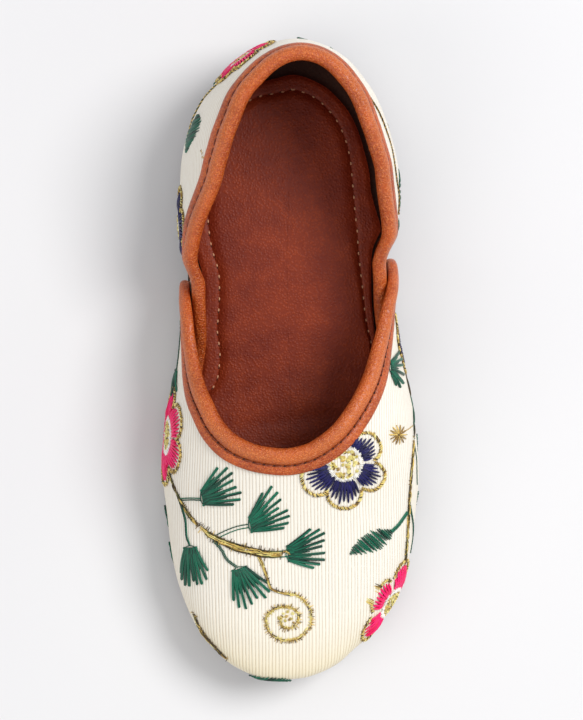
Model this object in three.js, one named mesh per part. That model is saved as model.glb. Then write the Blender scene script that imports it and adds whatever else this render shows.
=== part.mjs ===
// A child's slip-on mojari, left shoe. Millimetres, +Z up, floor at z = 0.
// +Y runs to the heel and +X to the outer side of the foot, so the toe points along -Y.
import * as THREE from "three";

// Driving sizes
const length = 164; // toe tip to the back of the heel
const width = 66; // widest place, at the ball of the foot
const collarHeight = 45.5; // edge of the fabric at the back of the heel
const ridgeHeight = 57; // top of the last that the sections are measured against
const wall = 1.3; // fabric and lining together
const gap = 0.3; // clearance between curved pieces
const soleThickness = 4.2; // at the forefoot
const heelThickness = 9.8; // sole and heel together, at the back
const toeSpring = 5.5; // how far the tip of the sole is off the floor
const archHeight = 4.5; // how far the waist of the sole is off the floor
const insoleThickness = 2;
const seatGap = 3.6; // the insole is this much short of the wall beside the heel on the outer side
const backGap = 5.2; // and this much at the back of the heel
const bulge = 5; // the walls are widest this far above the sole
const tuck = 1.6; // how far the walls draw in below that, to the sole
const soleInset = 1.3; // the edge of the sole is this far inside the walls
const stripThickness = 0.9; // leather of the bindings
const stripDepth = 5.8; // how far a binding reaches down the outer face
const overlapInset = wall + gap + 0.1; // the quarter is this far inside the wings of the vamp
const edgeInset = wall + 2 * gap + 1.2 * stripThickness; // and its edge, with the binding, is this far inside
const pocket = 1.8; // and the front end on the inner side leans in this much more
const shiftStart = 0.06; // share of the length behind each wing where the quarter starts to move in
const wallShift = 0.05; // share of the length that the foot of its wall takes to do so
const edgeStart = 0.044; // where its edge starts to move in, and the share that it takes
const edgeShift = 0.052;
const edgeReach = 1.7; // the edge of the quarter is this many strip depths high
const edgeFade = 0.7; // and eases into its wall over this many
const pocketShift = 0.1; // share of the length that the pocket takes, ahead of the end of the wing
const stripEnd = 0.55; // a binding is this share of its fullness at its ends
const stripTaper = 16; // and has its fullness this far along
const stripStop = 2.5; // a binding stops at least this far above the sole

// Smooth curve through the points of a table: no overshoot between its rows
function through(places, values) {
  const count = places.length;
  const slopes = [];
  for (let i = 0; i < count - 1; i += 1) {
    slopes.push((values[i + 1] - values[i]) / (places[i + 1] - places[i]));
  }
  const tangents = [slopes[0]];
  for (let i = 1; i < count - 1; i += 1) {
    const before = places[i] - places[i - 1];
    const after = places[i + 1] - places[i];
    const product = slopes[i - 1] * slopes[i];
    const weight = (2 * after + before) / slopes[i - 1] + (after + 2 * before) / slopes[i];
    tangents.push(product > 0 ? (3 * (before + after)) / weight : 0);
  }
  tangents.push(slopes[count - 2]);
  return (place) => {
    const at = Math.min(Math.max(place, places[0]), places[count - 1]);
    let i = 0;
    while (i < count - 2 && at > places[i + 1]) {
      i += 1;
    }
    const step = places[i + 1] - places[i];
    const t = (at - places[i]) / step;
    const rise = t * t * (3 - 2 * t);
    const lead = t * (1 - t) * (1 - t) * step * tangents[i];
    const trail = t * t * (1 - t) * step * tangents[i + 1];
    return values[i] + (values[i + 1] - values[i]) * rise + lead - trail;
  };
}

function column(rows, place, value) {
  return through(rows.map((row) => row[place]), rows.map((row) => row[value]));
}

// A place along the foot is a share of the length: 0 at the toe tip, 1 at the back of the heel.
// Rounded ends need the places stretched: a stretched place changes evenly round the curve.
const toY = (along) => (along - 0.5) * length;
const toAlong = (y) => y / length + 0.5;
const stretch = (along) => Math.acos(1 - 2 * Math.min(Math.max(along, 0), 1)) / Math.PI;
const unstretch = (place) => (1 - Math.cos(Math.PI * place)) / 2;

// Outline seen from above. middle and half are shares of half the width.
const OUTLINE = [
  { along: 0, middle: -0.066, half: 0 },
  { along: 0.003, middle: -0.066, half: 0.176 },
  { along: 0.008, middle: -0.064, half: 0.256 },
  { along: 0.013, middle: -0.06, half: 0.318 },
  { along: 0.028, middle: -0.058, half: 0.445 },
  { along: 0.044, middle: -0.056, half: 0.532 },
  { along: 0.067, middle: -0.042, half: 0.65 },
  { along: 0.098, middle: -0.027, half: 0.755 },
  { along: 0.13, middle: -0.01, half: 0.838 },
  { along: 0.162, middle: -0.006, half: 0.893 },
  { along: 0.193, middle: 0, half: 0.93 },
  { along: 0.256, middle: 0.002, half: 0.97 },
  { along: 0.32, middle: 0, half: 1 },
  { along: 0.365, middle: 0, half: 0.986 },
  { along: 0.413, middle: -0.002, half: 0.962 },
  { along: 0.458, middle: -0.006, half: 0.915 },
  { along: 0.506, middle: -0.014, half: 0.868 },
  { along: 0.553, middle: -0.024, half: 0.836 },
  { along: 0.61, middle: -0.03, half: 0.812 },
  { along: 0.66, middle: -0.034, half: 0.816 },
  { along: 0.72, middle: -0.028, half: 0.852 },
  { along: 0.785, middle: -0.02, half: 0.845 },
  { along: 0.85, middle: -0.028, half: 0.786 },
  { along: 0.882, middle: -0.024, half: 0.728 },
  { along: 0.912, middle: -0.018, half: 0.65 },
  { along: 0.941, middle: -0.01, half: 0.542 },
  { along: 0.965, middle: 0, half: 0.425 },
  { along: 0.988, middle: 0.01, half: 0.245 },
  { along: 0.997, middle: 0.012, half: 0.12 },
  { along: 1, middle: 0.012, half: 0 },
].map((row) => ({ ...row, place: stretch(row.along) }));
const middleAt = column(OUTLINE, "place", "middle");
const halfAt = column(OUTLINE, "place", "half");

// Sections of the last. spine is a share of half the width, ridge of ridgeHeight; the bends
// are powers of a superellipse on the inner and the outer side: 2 is round, more is squarer.
const SECTIONS = [
  { along: 0, spine: -0.045, ridge: 0.4, inner: 2.4, outer: 2.4 },
  { along: 0.1, spine: -0.055, ridge: 0.42, inner: 2.4, outer: 2.4 },
  { along: 0.21, spine: -0.07, ridge: 0.48, inner: 2.3, outer: 2.3 },
  { along: 0.3, spine: -0.085, ridge: 0.575, inner: 2.2, outer: 2.2 },
  { along: 0.365, spine: -0.09, ridge: 0.655, inner: 2.2, outer: 2.2 },
  { along: 0.425, spine: -0.075, ridge: 0.682, inner: 2.25, outer: 2.1 },
  { along: 0.503, spine: -0.045, ridge: 0.685, inner: 2.4, outer: 2.1 },
  { along: 0.565, spine: 0.015, ridge: 0.68, inner: 3, outer: 2.35 },
  { along: 0.625, spine: 0.06, ridge: 0.69, inner: 3.2, outer: 3 },
  { along: 0.71, spine: 0.09, ridge: 0.775, inner: 2.45, outer: 2.4 },
  { along: 0.79, spine: 0.12, ridge: 0.893, inner: 1.94, outer: 2.04 },
  { along: 0.86, spine: 0.13, ridge: 0.945, inner: 2.1, outer: 2.12 },
  { along: 0.92, spine: 0.13, ridge: 0.975, inner: 2.45, outer: 2.45 },
  { along: 0.96, spine: 0.13, ridge: 1.06, inner: 2.4, outer: 2.4 },
  { along: 1, spine: 0.13, ridge: 1.16, inner: 2.2, outer: 2.2 },
];
const spineAt = column(SECTIONS, "along", "spine");
const ridgeAt = column(SECTIONS, "along", "ridge");
const innerBendAt = column(SECTIONS, "along", "inner");
const outerBendAt = column(SECTIONS, "along", "outer");

// Side view of the sole. Its underside is a share of toeSpring in front and of archHeight at
// the waist; seat goes from 0 for soleThickness to 1 for heelThickness.
const SOLE = [
  { along: 0, spring: 1, arch: 0, seat: 0 },
  { along: 0.05, spring: 0.55, arch: 0, seat: 0 },
  { along: 0.11, spring: 0.2, arch: 0, seat: 0 },
  { along: 0.185, spring: 0, arch: 0, seat: 0 },
  { along: 0.39, spring: 0, arch: 0, seat: 0 },
  { along: 0.47, spring: 0, arch: 0.38, seat: 0.13 },
  { along: 0.56, spring: 0, arch: 0.8, seat: 0.42 },
  { along: 0.65, spring: 0, arch: 0.98, seat: 0.74 },
  { along: 0.72, spring: 0, arch: 1, seat: 0.92 },
  { along: 0.8, spring: 0, arch: 1, seat: 1 },
  { along: 1, spring: 0, arch: 1, seat: 1 },
];
const springAt = column(SOLE, "along", "spring");
const archAt = column(SOLE, "along", "arch");
const seatAt = column(SOLE, "along", "seat");
const heelFront = toY(0.715);
const heelSlope = 1.2; // the front face of the heel leans by this much

function soleTop(y) {
  const along = toAlong(y);
  return springAt(along) * toeSpring * 0.85 + soleThickness + seatAt(along) * (heelThickness - soleThickness);
}

function soleBottom(y) {
  const along = toAlong(y);
  if (y > heelFront + heelSlope) {
    return 0;
  }
  const drop = Math.min(Math.max((y - heelFront) / heelSlope, 0), 1);
  return springAt(along) * toeSpring + archAt(along) * archHeight * (1 - drop);
}

const wideAt = (y) => soleTop(y) + bulge;
const footAt = (y) => soleTop(y) + gap;

// The outline as a point: place runs from -1 at the heel, along the inner side, through 0 at
// the toe tip, and along the outer side to 1 at the heel.
function outlinePoint(place) {
  const at = Math.min(Math.abs(place), 1);
  const side = place < 0 ? -1 : 1;
  const x = (middleAt(at) + side * halfAt(at)) * (width / 2);
  return { x, y: toY(unstretch(at)) };
}

// The outline drawn in by an amount that may change along the foot
function drawnIn(place, amount) {
  const step = 0.004;
  const low = Math.max(place - step, -1);
  const high = Math.min(place + step, 1);
  const before = outlinePoint(low);
  const after = outlinePoint(high);
  const run = Math.hypot(after.x - before.x, after.y - before.y);
  const point = outlinePoint(place);
  return {
    x: point.x - ((after.y - before.y) / run) * amount,
    y: point.y + ((after.x - before.x) / run) * amount,
  };
}

// The walls fan out round two centres, one for the toe and one for the heel
function fan(along, sign) {
  const centre = { x: spineAt(along) * (width / 2), y: toY(along) };
  const angles = [];
  const reaches = [];
  for (let i = 0; i <= 240; i += 1) {
    const start = stretch(along);
    const place = sign < 0 ? -start + (2 * start * i) / 240 : 0;
    const back = i <= 120 ? -start - ((1 - start) * i) / 120 : 1 - ((1 - start) * (i - 120)) / 120;
    const point = outlinePoint(sign < 0 ? place : back);
    const dx = point.x - centre.x;
    const dy = (point.y - centre.y) * sign;
    angles.push(Math.atan2(dx, Math.max(dy, 0)));
    reaches.push(Math.hypot(dx, dy));
  }
  return { centre, sign, angles, reaches };
}

const toeAlong = 0.21;
const heelAlong = 0.79;
const toeFan = fan(toeAlong, -1);
const heelFan = fan(heelAlong, 1);

function fanReach(part, dx, dy) {
  const angle = Math.atan2(dx, Math.max(dy * part.sign, 0));
  let low = 0;
  let high = part.angles.length - 1;
  while (high - low > 1) {
    const mid = Math.floor((low + high) / 2);
    if (part.angles[mid] <= angle) {
      low = mid;
    } else {
      high = mid;
    }
  }
  const span = part.angles[high] - part.angles[low] || 1;
  const t = Math.min(Math.max((angle - part.angles[low]) / span, 0), 1);
  return part.reaches[low] + (part.reaches[high] - part.reaches[low]) * t;
}

// For a place in plan: the centre its wall leans to, how far the outline is from that centre
// in this direction, and the share of that distance
function spread(x, y) {
  const along = toAlong(y);
  const part = along < toeAlong ? toeFan : along > heelAlong ? heelFan : null;
  if (part) {
    const dx = x - part.centre.x;
    const dy = y - part.centre.y;
    const reach = fanReach(part, dx, dy);
    return { centre: part.centre, reach, share: Math.hypot(dx, dy) / reach, side: Math.sign(dx) };
  }
  const centre = { x: spineAt(along) * (width / 2), y };
  const side = x < centre.x ? -1 : 1;
  const edge = outlinePoint(side * stretch(along));
  const reach = Math.abs(edge.x - centre.x);
  return { centre, reach, share: Math.abs(x - centre.x) / reach, side };
}

const bendAt = (y, side) => (side < 0 ? innerBendAt : outerBendAt)(toAlong(y));

function heightOf(share, y, side) {
  const bend = bendAt(y, side);
  const low = wideAt(y);
  const rise = Math.pow(Math.max(1 - Math.pow(Math.min(share, 1), bend), 0), 1 / bend);
  return low + (ridgeAt(toAlong(y)) * ridgeHeight - low) * rise;
}

function shareOf(z, y, side, reach) {
  const low = wideAt(y);
  if (z < low) {
    return 1 - (tuck * Math.pow((low - z) / bulge, 2)) / reach;
  }
  const bend = bendAt(y, side);
  const rise = Math.min((z - low) / (ridgeAt(toAlong(y)) * ridgeHeight - low), 1);
  return Math.pow(1 - Math.pow(rise, bend), 1 / bend);
}

// A point of the outer face of the upper above a place on the outline, at a height
function sidePoint(place, z) {
  const edge = outlinePoint(place);
  const found = spread(edge.x, edge.y);
  const side = place < 0 ? -1 : 1;
  let point = { x: edge.x, y: edge.y };
  for (let i = 0; i < 12; i += 1) {
    const share = shareOf(z, point.y, side, found.reach);
    point = {
      x: found.centre.x + (edge.x - found.centre.x) * share,
      y: found.centre.y + (edge.y - found.centre.y) * share,
    };
  }
  return new THREE.Vector3(point.x, point.y, z);
}

// How far a point is outside the upper, and the nearest point on the upper
function outside(point) {
  const found = spread(point.x, point.y);
  if (point.z < wideAt(point.y) || found.share > 0.72) {
    return (found.share - shareOf(point.z, point.y, found.side, found.reach)) * found.reach;
  }
  return point.z - heightOf(found.share, point.y, found.side);
}

function steepest(point) {
  const step = 0.05;
  const axes = [new THREE.Vector3(step, 0, 0), new THREE.Vector3(0, step, 0), new THREE.Vector3(0, 0, step)];
  const [x, y, z] = axes.map((axis) => {
    const ahead = outside(point.clone().add(axis));
    return (ahead - outside(point.clone().sub(axis))) / (2 * step);
  });
  return new THREE.Vector3(x, y, z);
}

function settled(point) {
  const at = point.clone();
  for (let i = 0; i < 6; i += 1) {
    const slope = steepest(at);
    at.addScaledVector(slope, -outside(at) / slope.lengthSq());
  }
  return at;
}

// Solids
function body(name, points, faces, colour, roughness) {
  const geometry = new THREE.BufferGeometry();
  geometry.setAttribute("position", new THREE.Float32BufferAttribute(points.flatMap((p) => [p.x, p.y, p.z]), 3));
  geometry.setIndex(faces.flat());
  let volume = 0;
  for (const [a, b, c] of faces) {
    volume += points[a].dot(new THREE.Vector3().crossVectors(points[b], points[c]));
  }
  if (volume < 0) {
    geometry.setIndex(faces.map(([a, b, c]) => [a, c, b]).flat());
  }
  geometry.computeVertexNormals();
  const mesh = new THREE.Mesh(geometry, new THREE.MeshStandardMaterial({ color: colour, roughness }));
  mesh.name = name;
  return mesh;
}

// Closed solid between two sheets of points with the same rows and columns
function between(outer, inner) {
  const rows = outer.length;
  const columns = outer[0].length;
  const points = [...outer.flat(), ...inner.flat()];
  const faces = [];
  const at = (sheet, i, j) => sheet * rows * columns + i * columns + j;
  const quad = (a, b, c, d) => faces.push([a, b, c], [a, c, d]);
  for (let i = 0; i < rows - 1; i += 1) {
    for (let j = 0; j < columns - 1; j += 1) {
      quad(at(0, i, j), at(0, i + 1, j), at(0, i + 1, j + 1), at(0, i, j + 1));
      quad(at(1, i, j), at(1, i, j + 1), at(1, i + 1, j + 1), at(1, i + 1, j));
    }
  }
  for (let i = 0; i < rows - 1; i += 1) {
    quad(at(0, i, 0), at(1, i, 0), at(1, i + 1, 0), at(0, i + 1, 0));
    quad(at(0, i, columns - 1), at(0, i + 1, columns - 1), at(1, i + 1, columns - 1), at(1, i, columns - 1));
  }
  for (let j = 0; j < columns - 1; j += 1) {
    quad(at(0, 0, j), at(0, 0, j + 1), at(1, 0, j + 1), at(1, 0, j));
    quad(at(0, rows - 1, j), at(1, rows - 1, j), at(1, rows - 1, j + 1), at(0, rows - 1, j + 1));
  }
  return { points, faces };
}

// Closed solid swept through rings of points, flat at both ends
function swept(rings) {
  const count = rings[0].length;
  const points = rings.flat();
  const faces = [];
  for (let i = 0; i < rings.length - 1; i += 1) {
    for (let j = 0; j < count; j += 1) {
      const next = (j + 1) % count;
      const a = i * count + j;
      const b = i * count + next;
      faces.push([a, b, b + count], [a, b + count, a + count]);
    }
  }
  return { points, faces, count };
}

// A sheet of points on the upper moved inwards. Its first column stays level, on the sole.
function inward(sheet, amountAt) {
  return sheet.map((row) =>
    row.map((point, j) => {
      const normal = steepest(point);
      if (j === 0) {
        normal.z = 0;
      }
      return point.clone().addScaledVector(normal.normalize(), -amountAt(point));
    }),
  );
}

// Vamp. Each row is a rib from the outline at foot to the edge of the vamp at along. around is
// the place on the section there: 0 where the wall is widest on the inner side, 1 on the
// ridge, 2 where it is widest on the outer side. The first and last rows round the corners of
// the wings.
const THROAT = [
  { along: 0.62, around: 0.0064, foot: 0.62 },
  { along: 0.6145, around: 0.035, foot: 0.6145 },
  { along: 0.603, around: 0.075, foot: 0.603 },
  { along: 0.586, around: 0.15, foot: 0.5845 },
  { along: 0.563, around: 0.232, foot: 0.559 },
  { along: 0.536, around: 0.285, foot: 0.527 },
  { along: 0.505, around: 0.349, foot: 0.491 },
  { along: 0.461, around: 0.458, foot: 0.436 },
  { along: 0.43, around: 0.558, foot: 0.388 },
  { along: 0.402, around: 0.64, foot: 0.321 },
  { along: 0.375, around: 0.765, foot: 0.209 },
  { along: 0.361, around: 0.9, foot: 0.076 },
  { along: 0.3575, around: 1, foot: 0 },
  { along: 0.363, around: 1.075, foot: 0.076 },
  { along: 0.378, around: 1.155, foot: 0.197 },
  { along: 0.398, around: 1.232, foot: 0.294 },
  { along: 0.425, around: 1.31, foot: 0.364 },
  { along: 0.45, around: 1.378, foot: 0.412 },
  { along: 0.482, around: 1.46, foot: 0.461 },
  { along: 0.528, around: 1.558, foot: 0.515 },
  { along: 0.556, around: 1.615, foot: 0.549 },
  { along: 0.588, around: 1.695, foot: 0.585 },
  { along: 0.608, around: 1.79, foot: 0.608 },
  { along: 0.63, around: 1.888, foot: 0.63 },
  { along: 0.6475, around: 1.947, foot: 0.6475 },
  { along: 0.654, around: 1.9936, foot: 0.654 },
];

function throatPoint(along, around) {
  const side = around < 1 ? -1 : 1;
  const turn = around < 1 ? around : 2 - around;
  const y = toY(along);
  const bend = bendAt(y, side);
  const low = wideAt(y);
  const share = Math.pow(Math.cos((turn * Math.PI) / 2), 2 / bend);
  const rise = Math.pow(Math.sin((turn * Math.PI) / 2), 2 / bend);
  const spine = spineAt(along) * (width / 2);
  const edge = outlinePoint(side * stretch(along));
  const z = low + (ridgeAt(along) * ridgeHeight - low) * rise;
  return new THREE.Vector3(spine + (edge.x - spine) * share, y, z);
}

const throatRun = [0];
for (let i = 1; i < THROAT.length; i += 1) {
  const here = throatPoint(THROAT[i].along, THROAT[i].around);
  const last = throatPoint(THROAT[i - 1].along, THROAT[i - 1].around);
  throatRun.push(throatRun[i - 1] + here.distanceTo(last));
}
const alongThroat = through(throatRun, THROAT.map((row) => row.along));
const aroundThroat = through(throatRun, THROAT.map((row) => row.around));
const footOfThroat = through(throatRun, THROAT.map((row) => (row.around < 1 ? -1 : 1) * stretch(row.foot)));

const THROAT_STEP = 3.2; // most between two ribs of the vamp, along the throat
const OUTLINE_STEP = 4; // and along the outline
const runs = [0];
for (let i = 1; i < throatRun.length; i += 1) {
  const run = throatRun[i] - throatRun[i - 1];
  const near = outlinePoint(footOfThroat(throatRun[i - 1]));
  const far = outlinePoint(footOfThroat(throatRun[i]));
  const reach = Math.hypot(far.x - near.x, far.y - near.y);
  const pieces = Math.max(Math.round(run / THROAT_STEP), Math.round(reach / OUTLINE_STEP), 1);
  for (let j = 1; j <= pieces; j += 1) {
    runs.push(throatRun[i - 1] + ((throatRun[i] - throatRun[i - 1]) * j) / pieces);
  }
}

const VAMP_LEVELS = 8; // rows of facets between the widest place and the throat

function vampRib(run) {
  const place = footOfThroat(run);
  const edge = outlinePoint(place);
  const top = throatPoint(alongThroat(run), aroundThroat(run));
  const low = wideAt(edge.y);
  const points = [0, 0.5, 1].map((share) => sidePoint(place, footAt(edge.y) + (low - footAt(edge.y)) * share));
  for (let i = 1; i < VAMP_LEVELS; i += 1) {
    const share = 1 - Math.cos((i / VAMP_LEVELS) * (Math.PI / 2));
    const x = edge.x + (top.x - edge.x) * share;
    const y = edge.y + (top.y - edge.y) * share;
    const found = spread(x, y);
    points.push(new THREE.Vector3(x, y, heightOf(found.share, y, found.side)));
  }
  points.push(top);
  return points;
}

const vampSheet = runs.map(vampRib);
const vampWall = between(vampSheet, inward(vampSheet, () => wall));

// Quarter. height is the edge of the fabric as a share of collarHeight.
const COLLAR = [
  { along: 0.488, height: 0.25 },
  { along: 0.52, height: 0.32 },
  { along: 0.555, height: 0.4 },
  { along: 0.591, height: 0.475 },
  { along: 0.627, height: 0.55 },
  { along: 0.67, height: 0.64 },
  { along: 0.718, height: 0.74 },
  { along: 0.779, height: 0.845 },
  { along: 0.845, height: 0.92 },
  { along: 0.912, height: 0.967 },
  { along: 0.96, height: 0.99 },
  { along: 1, height: 1 },
];
const collarAt = column(COLLAR, "along", "height");
const quarterFront = stretch(COLLAR[0].along);

const eased = (share) => {
  const t = Math.min(Math.max(share, 0), 1);
  return t * t * (3 - 2 * t);
};

// How far the quarter is inside the face of the vamp. It moves in just behind the end of each
// wing. On the inner side its front end leans in further, which leaves a pocket between the two.
function overlapAt(point) {
  const along = toAlong(point.y);
  const ahead = (point.x < 0 ? THROAT[0].foot : THROAT[THROAT.length - 1].foot) - along;
  const low = footAt(point.y);
  const high = collarAt(along) * collarHeight;
  const up = eased((point.z - low) / (high - low));
  const edge = eased((point.z - high + edgeReach * stripDepth) / (edgeFade * stripDepth));
  const wallIn = overlapInset * eased((ahead + shiftStart) / wallShift);
  const edgeIn = edgeInset * eased((ahead + edgeStart) / edgeShift);
  return wallIn + (edgeIn - wallIn) * edge + (point.x < 0 ? pocket : 0) * eased(ahead / pocketShift) * up;
}

const QUARTER_RIBS = 80;
const QUARTER_LEVELS = [0, 0.1, 0.2, 0.34, 0.5, 0.67, 0.84, 1];

function quarterPlace(i) {
  const turn = -1 + (2 * i) / QUARTER_RIBS;
  return (turn < 0 ? -1 : 1) * (1 - Math.abs(turn) * (1 - quarterFront));
}

const quarterSheet = [];
for (let i = 0; i <= QUARTER_RIBS; i += 1) {
  const place = quarterPlace(i);
  const y = outlinePoint(place).y;
  const low = footAt(y);
  const high = collarAt(toAlong(y)) * collarHeight;
  quarterSheet.push(QUARTER_LEVELS.map((share) => sidePoint(place, low + (high - low) * share)));
}
const quarterWall = between(
  inward(quarterSheet, overlapAt),
  inward(quarterSheet, (point) => overlapAt(point) + wall),
);

// Bindings. out is a share of stripThickness above the face of the fabric, in is a share of
// the wall below it; down is a share of the depth below the edge, up is a share of
// stripThickness above the edge.
const STRIP = [
  { down: 1, out: 0.5 },
  { down: 0.75, out: 1 },
  { down: 0.25, out: 1.15 },
  { up: 0.2, out: 0.85 },
  { up: 1, in: 0.35 },
  { up: 0.55, in: 1.05 },
  { up: 0, in: 1 },
  { up: 0, out: 0 },
  { down: 0.25, out: 0 },
  { down: 0.6, out: 0.12 },
  { down: 1, out: 0.12 },
];

function strip(edge, turn, insetAt, depthAt) {
  const run = [0];
  for (let i = 1; i < edge.length; i += 1) {
    run.push(run[i - 1] + edge[i].distanceTo(edge[i - 1]));
  }
  const rings = edge.map((point, i) => {
    const fromEnd = Math.min(run[i], run[run.length - 1] - run[i]);
    const full = (stripEnd + (1 - stripEnd) * eased(fromEnd / stripTaper)) * stripThickness;
    const before = edge[Math.max(i - 1, 0)];
    const after = edge[Math.min(i + 1, edge.length - 1)];
    const normal = steepest(point).normalize();
    const along = after.clone().sub(before);
    const down = new THREE.Vector3().crossVectors(normal, along).normalize().multiplyScalar(turn);
    const depth = depthAt(point);
    return STRIP.map((row) => {
      if (row.down !== undefined) {
        const on = settled(point.clone().addScaledVector(down, row.down * depth));
        const face = steepest(on).normalize();
        return on.addScaledVector(face, gap + row.out * full - insetAt(on));
      }
      const height = row.in !== undefined ? -row.in * wall : gap + row.out * full;
      const lift = gap + row.up * full;
      return point.clone().addScaledVector(normal, height - insetAt(point)).addScaledVector(down, -lift);
    });
  });
  const count = STRIP.length;
  const solid = swept(rings);
  const outline = STRIP.map((row) => {
    const x = row.in !== undefined ? -row.in * wall : gap + row.out * stripThickness;
    const y = row.down !== undefined ? -row.down * stripDepth : gap + row.up * stripThickness;
    return new THREE.Vector2(x, y);
  });
  const caps = THREE.ShapeUtils.triangulateShape(outline, []);
  const last = (rings.length - 1) * count;
  for (const [a, b, c] of caps) {
    solid.faces.push([a, c, b], [last + a, last + b, last + c]);
  }
  return solid;
}

const firstRow = vampSheet[0];
const lastRow = vampSheet[vampSheet.length - 1];
const rise = (place, top) => {
  const low = footAt(outlinePoint(place).y) + gap;
  return [0, 0.5].map((share) => sidePoint(place, low + (top.z - low) * share));
};
const throatEdge = vampSheet.map((row) => row[row.length - 1]);
const vampEdge = [
  ...rise(footOfThroat(0), firstRow[firstRow.length - 1]),
  ...throatEdge,
  ...rise(footOfThroat(throatRun[throatRun.length - 1]), lastRow[lastRow.length - 1]).reverse(),
];
const vampStrip = strip(vampEdge, -1, () => 0, () => stripDepth);
const quarterEdge = quarterSheet.map((row) => row[row.length - 1]);
const quarterStrip = strip(quarterEdge, 1, overlapAt, (point) => Math.min(stripDepth, point.z - footAt(point.y) - stripStop));

// Flat pieces: sections across the foot between the two sides of the outline
const PLATE_COLUMNS = 6;

function plate(places, drawTop, drawBottom, topAt, bottomAt) {
  const sheet = (drawAt, heightAt) =>
    places.map((place) => {
      const left = drawnIn(-place, drawAt(-place));
      const right = drawnIn(place, drawAt(place));
      const row = [];
      for (let i = 0; i <= PLATE_COLUMNS; i += 1) {
        const x = left.x + ((right.x - left.x) * i) / PLATE_COLUMNS;
        const y = left.y + ((right.y - left.y) * i) / PLATE_COLUMNS;
        row.push(new THREE.Vector3(x, y, heightAt(y)));
      }
      return row;
    });
  return between(sheet(drawTop, topAt), sheet(drawBottom, bottomAt));
}

const platePlaces = [0.01, 0.03, 0.055];
for (let i = 2; i <= 38; i += 1) {
  platePlaces.push(i / 40);
}
const soleEnds = [0.97, 0.99];
const heelPlaces = [heelFront - 0.3, heelFront + heelSlope + 0.3].map((y) => stretch(toAlong(y)));
const solePlaces = [...platePlaces, ...heelPlaces, ...soleEnds].sort((a, b) => a - b);
const outsole = plate(solePlaces, () => soleInset, () => soleInset + 0.8, soleTop, soleBottom);

// The insole keeps inside the quarter from keepStart on; the gaps beside and behind the heel
// open over the shares of the length, and of the stretched places, that are named here
const keepStart = 0.432;
const keepShift = 0.05;
const seatStart = 0.68;
const seatShift = 0.1;
const backStart = 0.78;
const backShift = 0.17;

function insoleInset(place) {
  const { x, y } = outlinePoint(place);
  const behind = eased((toAlong(y) - keepStart) / keepShift);
  const beside = place > 0 ? seatGap * eased((toAlong(y) - seatStart) / seatShift) : 0;
  const back = eased((Math.abs(place) - backStart) / backShift);
  const moved = overlapAt({ x, y, z: soleTop(y) + insoleThickness }) * behind;
  return tuck + wall + 1.5 * gap + Math.max(moved, beside + (backGap - beside) * back);
}

const insolePlaces = [...platePlaces, ...soleEnds];
const insole = plate(
  insolePlaces,
  insoleInset,
  insoleInset,
  (y) => soleTop(y) + gap + insoleThickness,
  (y) => soleTop(y) + gap,
);

const shoe = new THREE.Group();
shoe.name = "mojari";
shoe.add(
  body("outsole", outsole.points, outsole.faces, "#7a4a2a", 0.7),
  body("insole", insole.points, insole.faces, "#8a4a2c", 0.55),
  body("vamp", vampWall.points, vampWall.faces, "#efe4cf", 0.85),
  body("quarter", quarterWall.points, quarterWall.faces, "#efe4cf", 0.85),
  body("vamp_binding", vampStrip.points, vampStrip.faces, "#b3602f", 0.5),
  body("quarter_binding", quarterStrip.points, quarterStrip.faces, "#b3602f", 0.5),
);

export default shoe;
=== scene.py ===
# %% [markdown]
# # A child's slip-on mojari, left shoe
# The upper is ribbed ivory cloth, embroidered in thick thread, on a leather-look lining. Its edges
# are wrapped in tan strips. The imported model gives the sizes; everything here is dressed on it.

# %% Load the frame
import math
import bmesh
import bpy
import numpy as np
from mathutils import Matrix, Vector


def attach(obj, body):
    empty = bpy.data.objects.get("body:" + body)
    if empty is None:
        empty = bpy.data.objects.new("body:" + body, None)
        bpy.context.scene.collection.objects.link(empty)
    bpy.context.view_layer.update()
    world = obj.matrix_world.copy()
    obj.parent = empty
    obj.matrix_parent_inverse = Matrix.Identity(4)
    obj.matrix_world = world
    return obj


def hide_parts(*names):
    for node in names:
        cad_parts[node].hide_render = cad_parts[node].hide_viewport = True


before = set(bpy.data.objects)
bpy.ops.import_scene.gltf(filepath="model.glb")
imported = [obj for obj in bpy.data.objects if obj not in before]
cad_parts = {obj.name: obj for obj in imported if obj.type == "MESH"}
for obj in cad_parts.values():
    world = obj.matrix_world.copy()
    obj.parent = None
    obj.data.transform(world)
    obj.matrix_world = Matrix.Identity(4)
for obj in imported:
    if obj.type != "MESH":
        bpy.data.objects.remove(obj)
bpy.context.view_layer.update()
MM = 0.001
print("nodes:", sorted(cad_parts))

# %% [markdown]
# ## Camera, floor and light
# The photograph was taken from straight above, a little to the inner side of this shoe, from far
# enough away that a long lens shows it almost without perspective. A pale sheet lies under the
# shoe, and two big soft lamps light it: one high on the outer side, one weak on the inner side.

# %% Camera
eye = bpy.data.objects.new("eye", bpy.data.cameras.new("eye"))
bpy.context.scene.collection.objects.link(eye)
eye.location = (-0.037, 0.0005, 0.8)
back = (Vector(eye.location) - Vector((0, 0, 0.012))).normalized()
right = Vector((0, 1, 0)).cross(back).normalized()
eye.rotation_mode = "QUATERNION"
eye.rotation_quaternion = Matrix((right, back.cross(right), back)).transposed().to_quaternion()
eye.data.sensor_width = 36
eye.data.lens = 153.2
eye.data.clip_start, eye.data.clip_end = 0.01, 20
bpy.context.scene.camera = eye
print("lens", round(eye.data.lens, 1), "mm")

# %% Light and view
scene = bpy.context.scene
scene.view_settings.view_transform = "Standard"
scene.view_settings.look = "None"
sky = bpy.data.worlds.new("studio")
scene.world = sky
sky.use_nodes = True
sky.node_tree.nodes["Background"].inputs["Color"].default_value = (0.95, 0.97, 1.0, 1)
sky.node_tree.nodes["Background"].inputs["Strength"].default_value = 0.56


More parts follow.
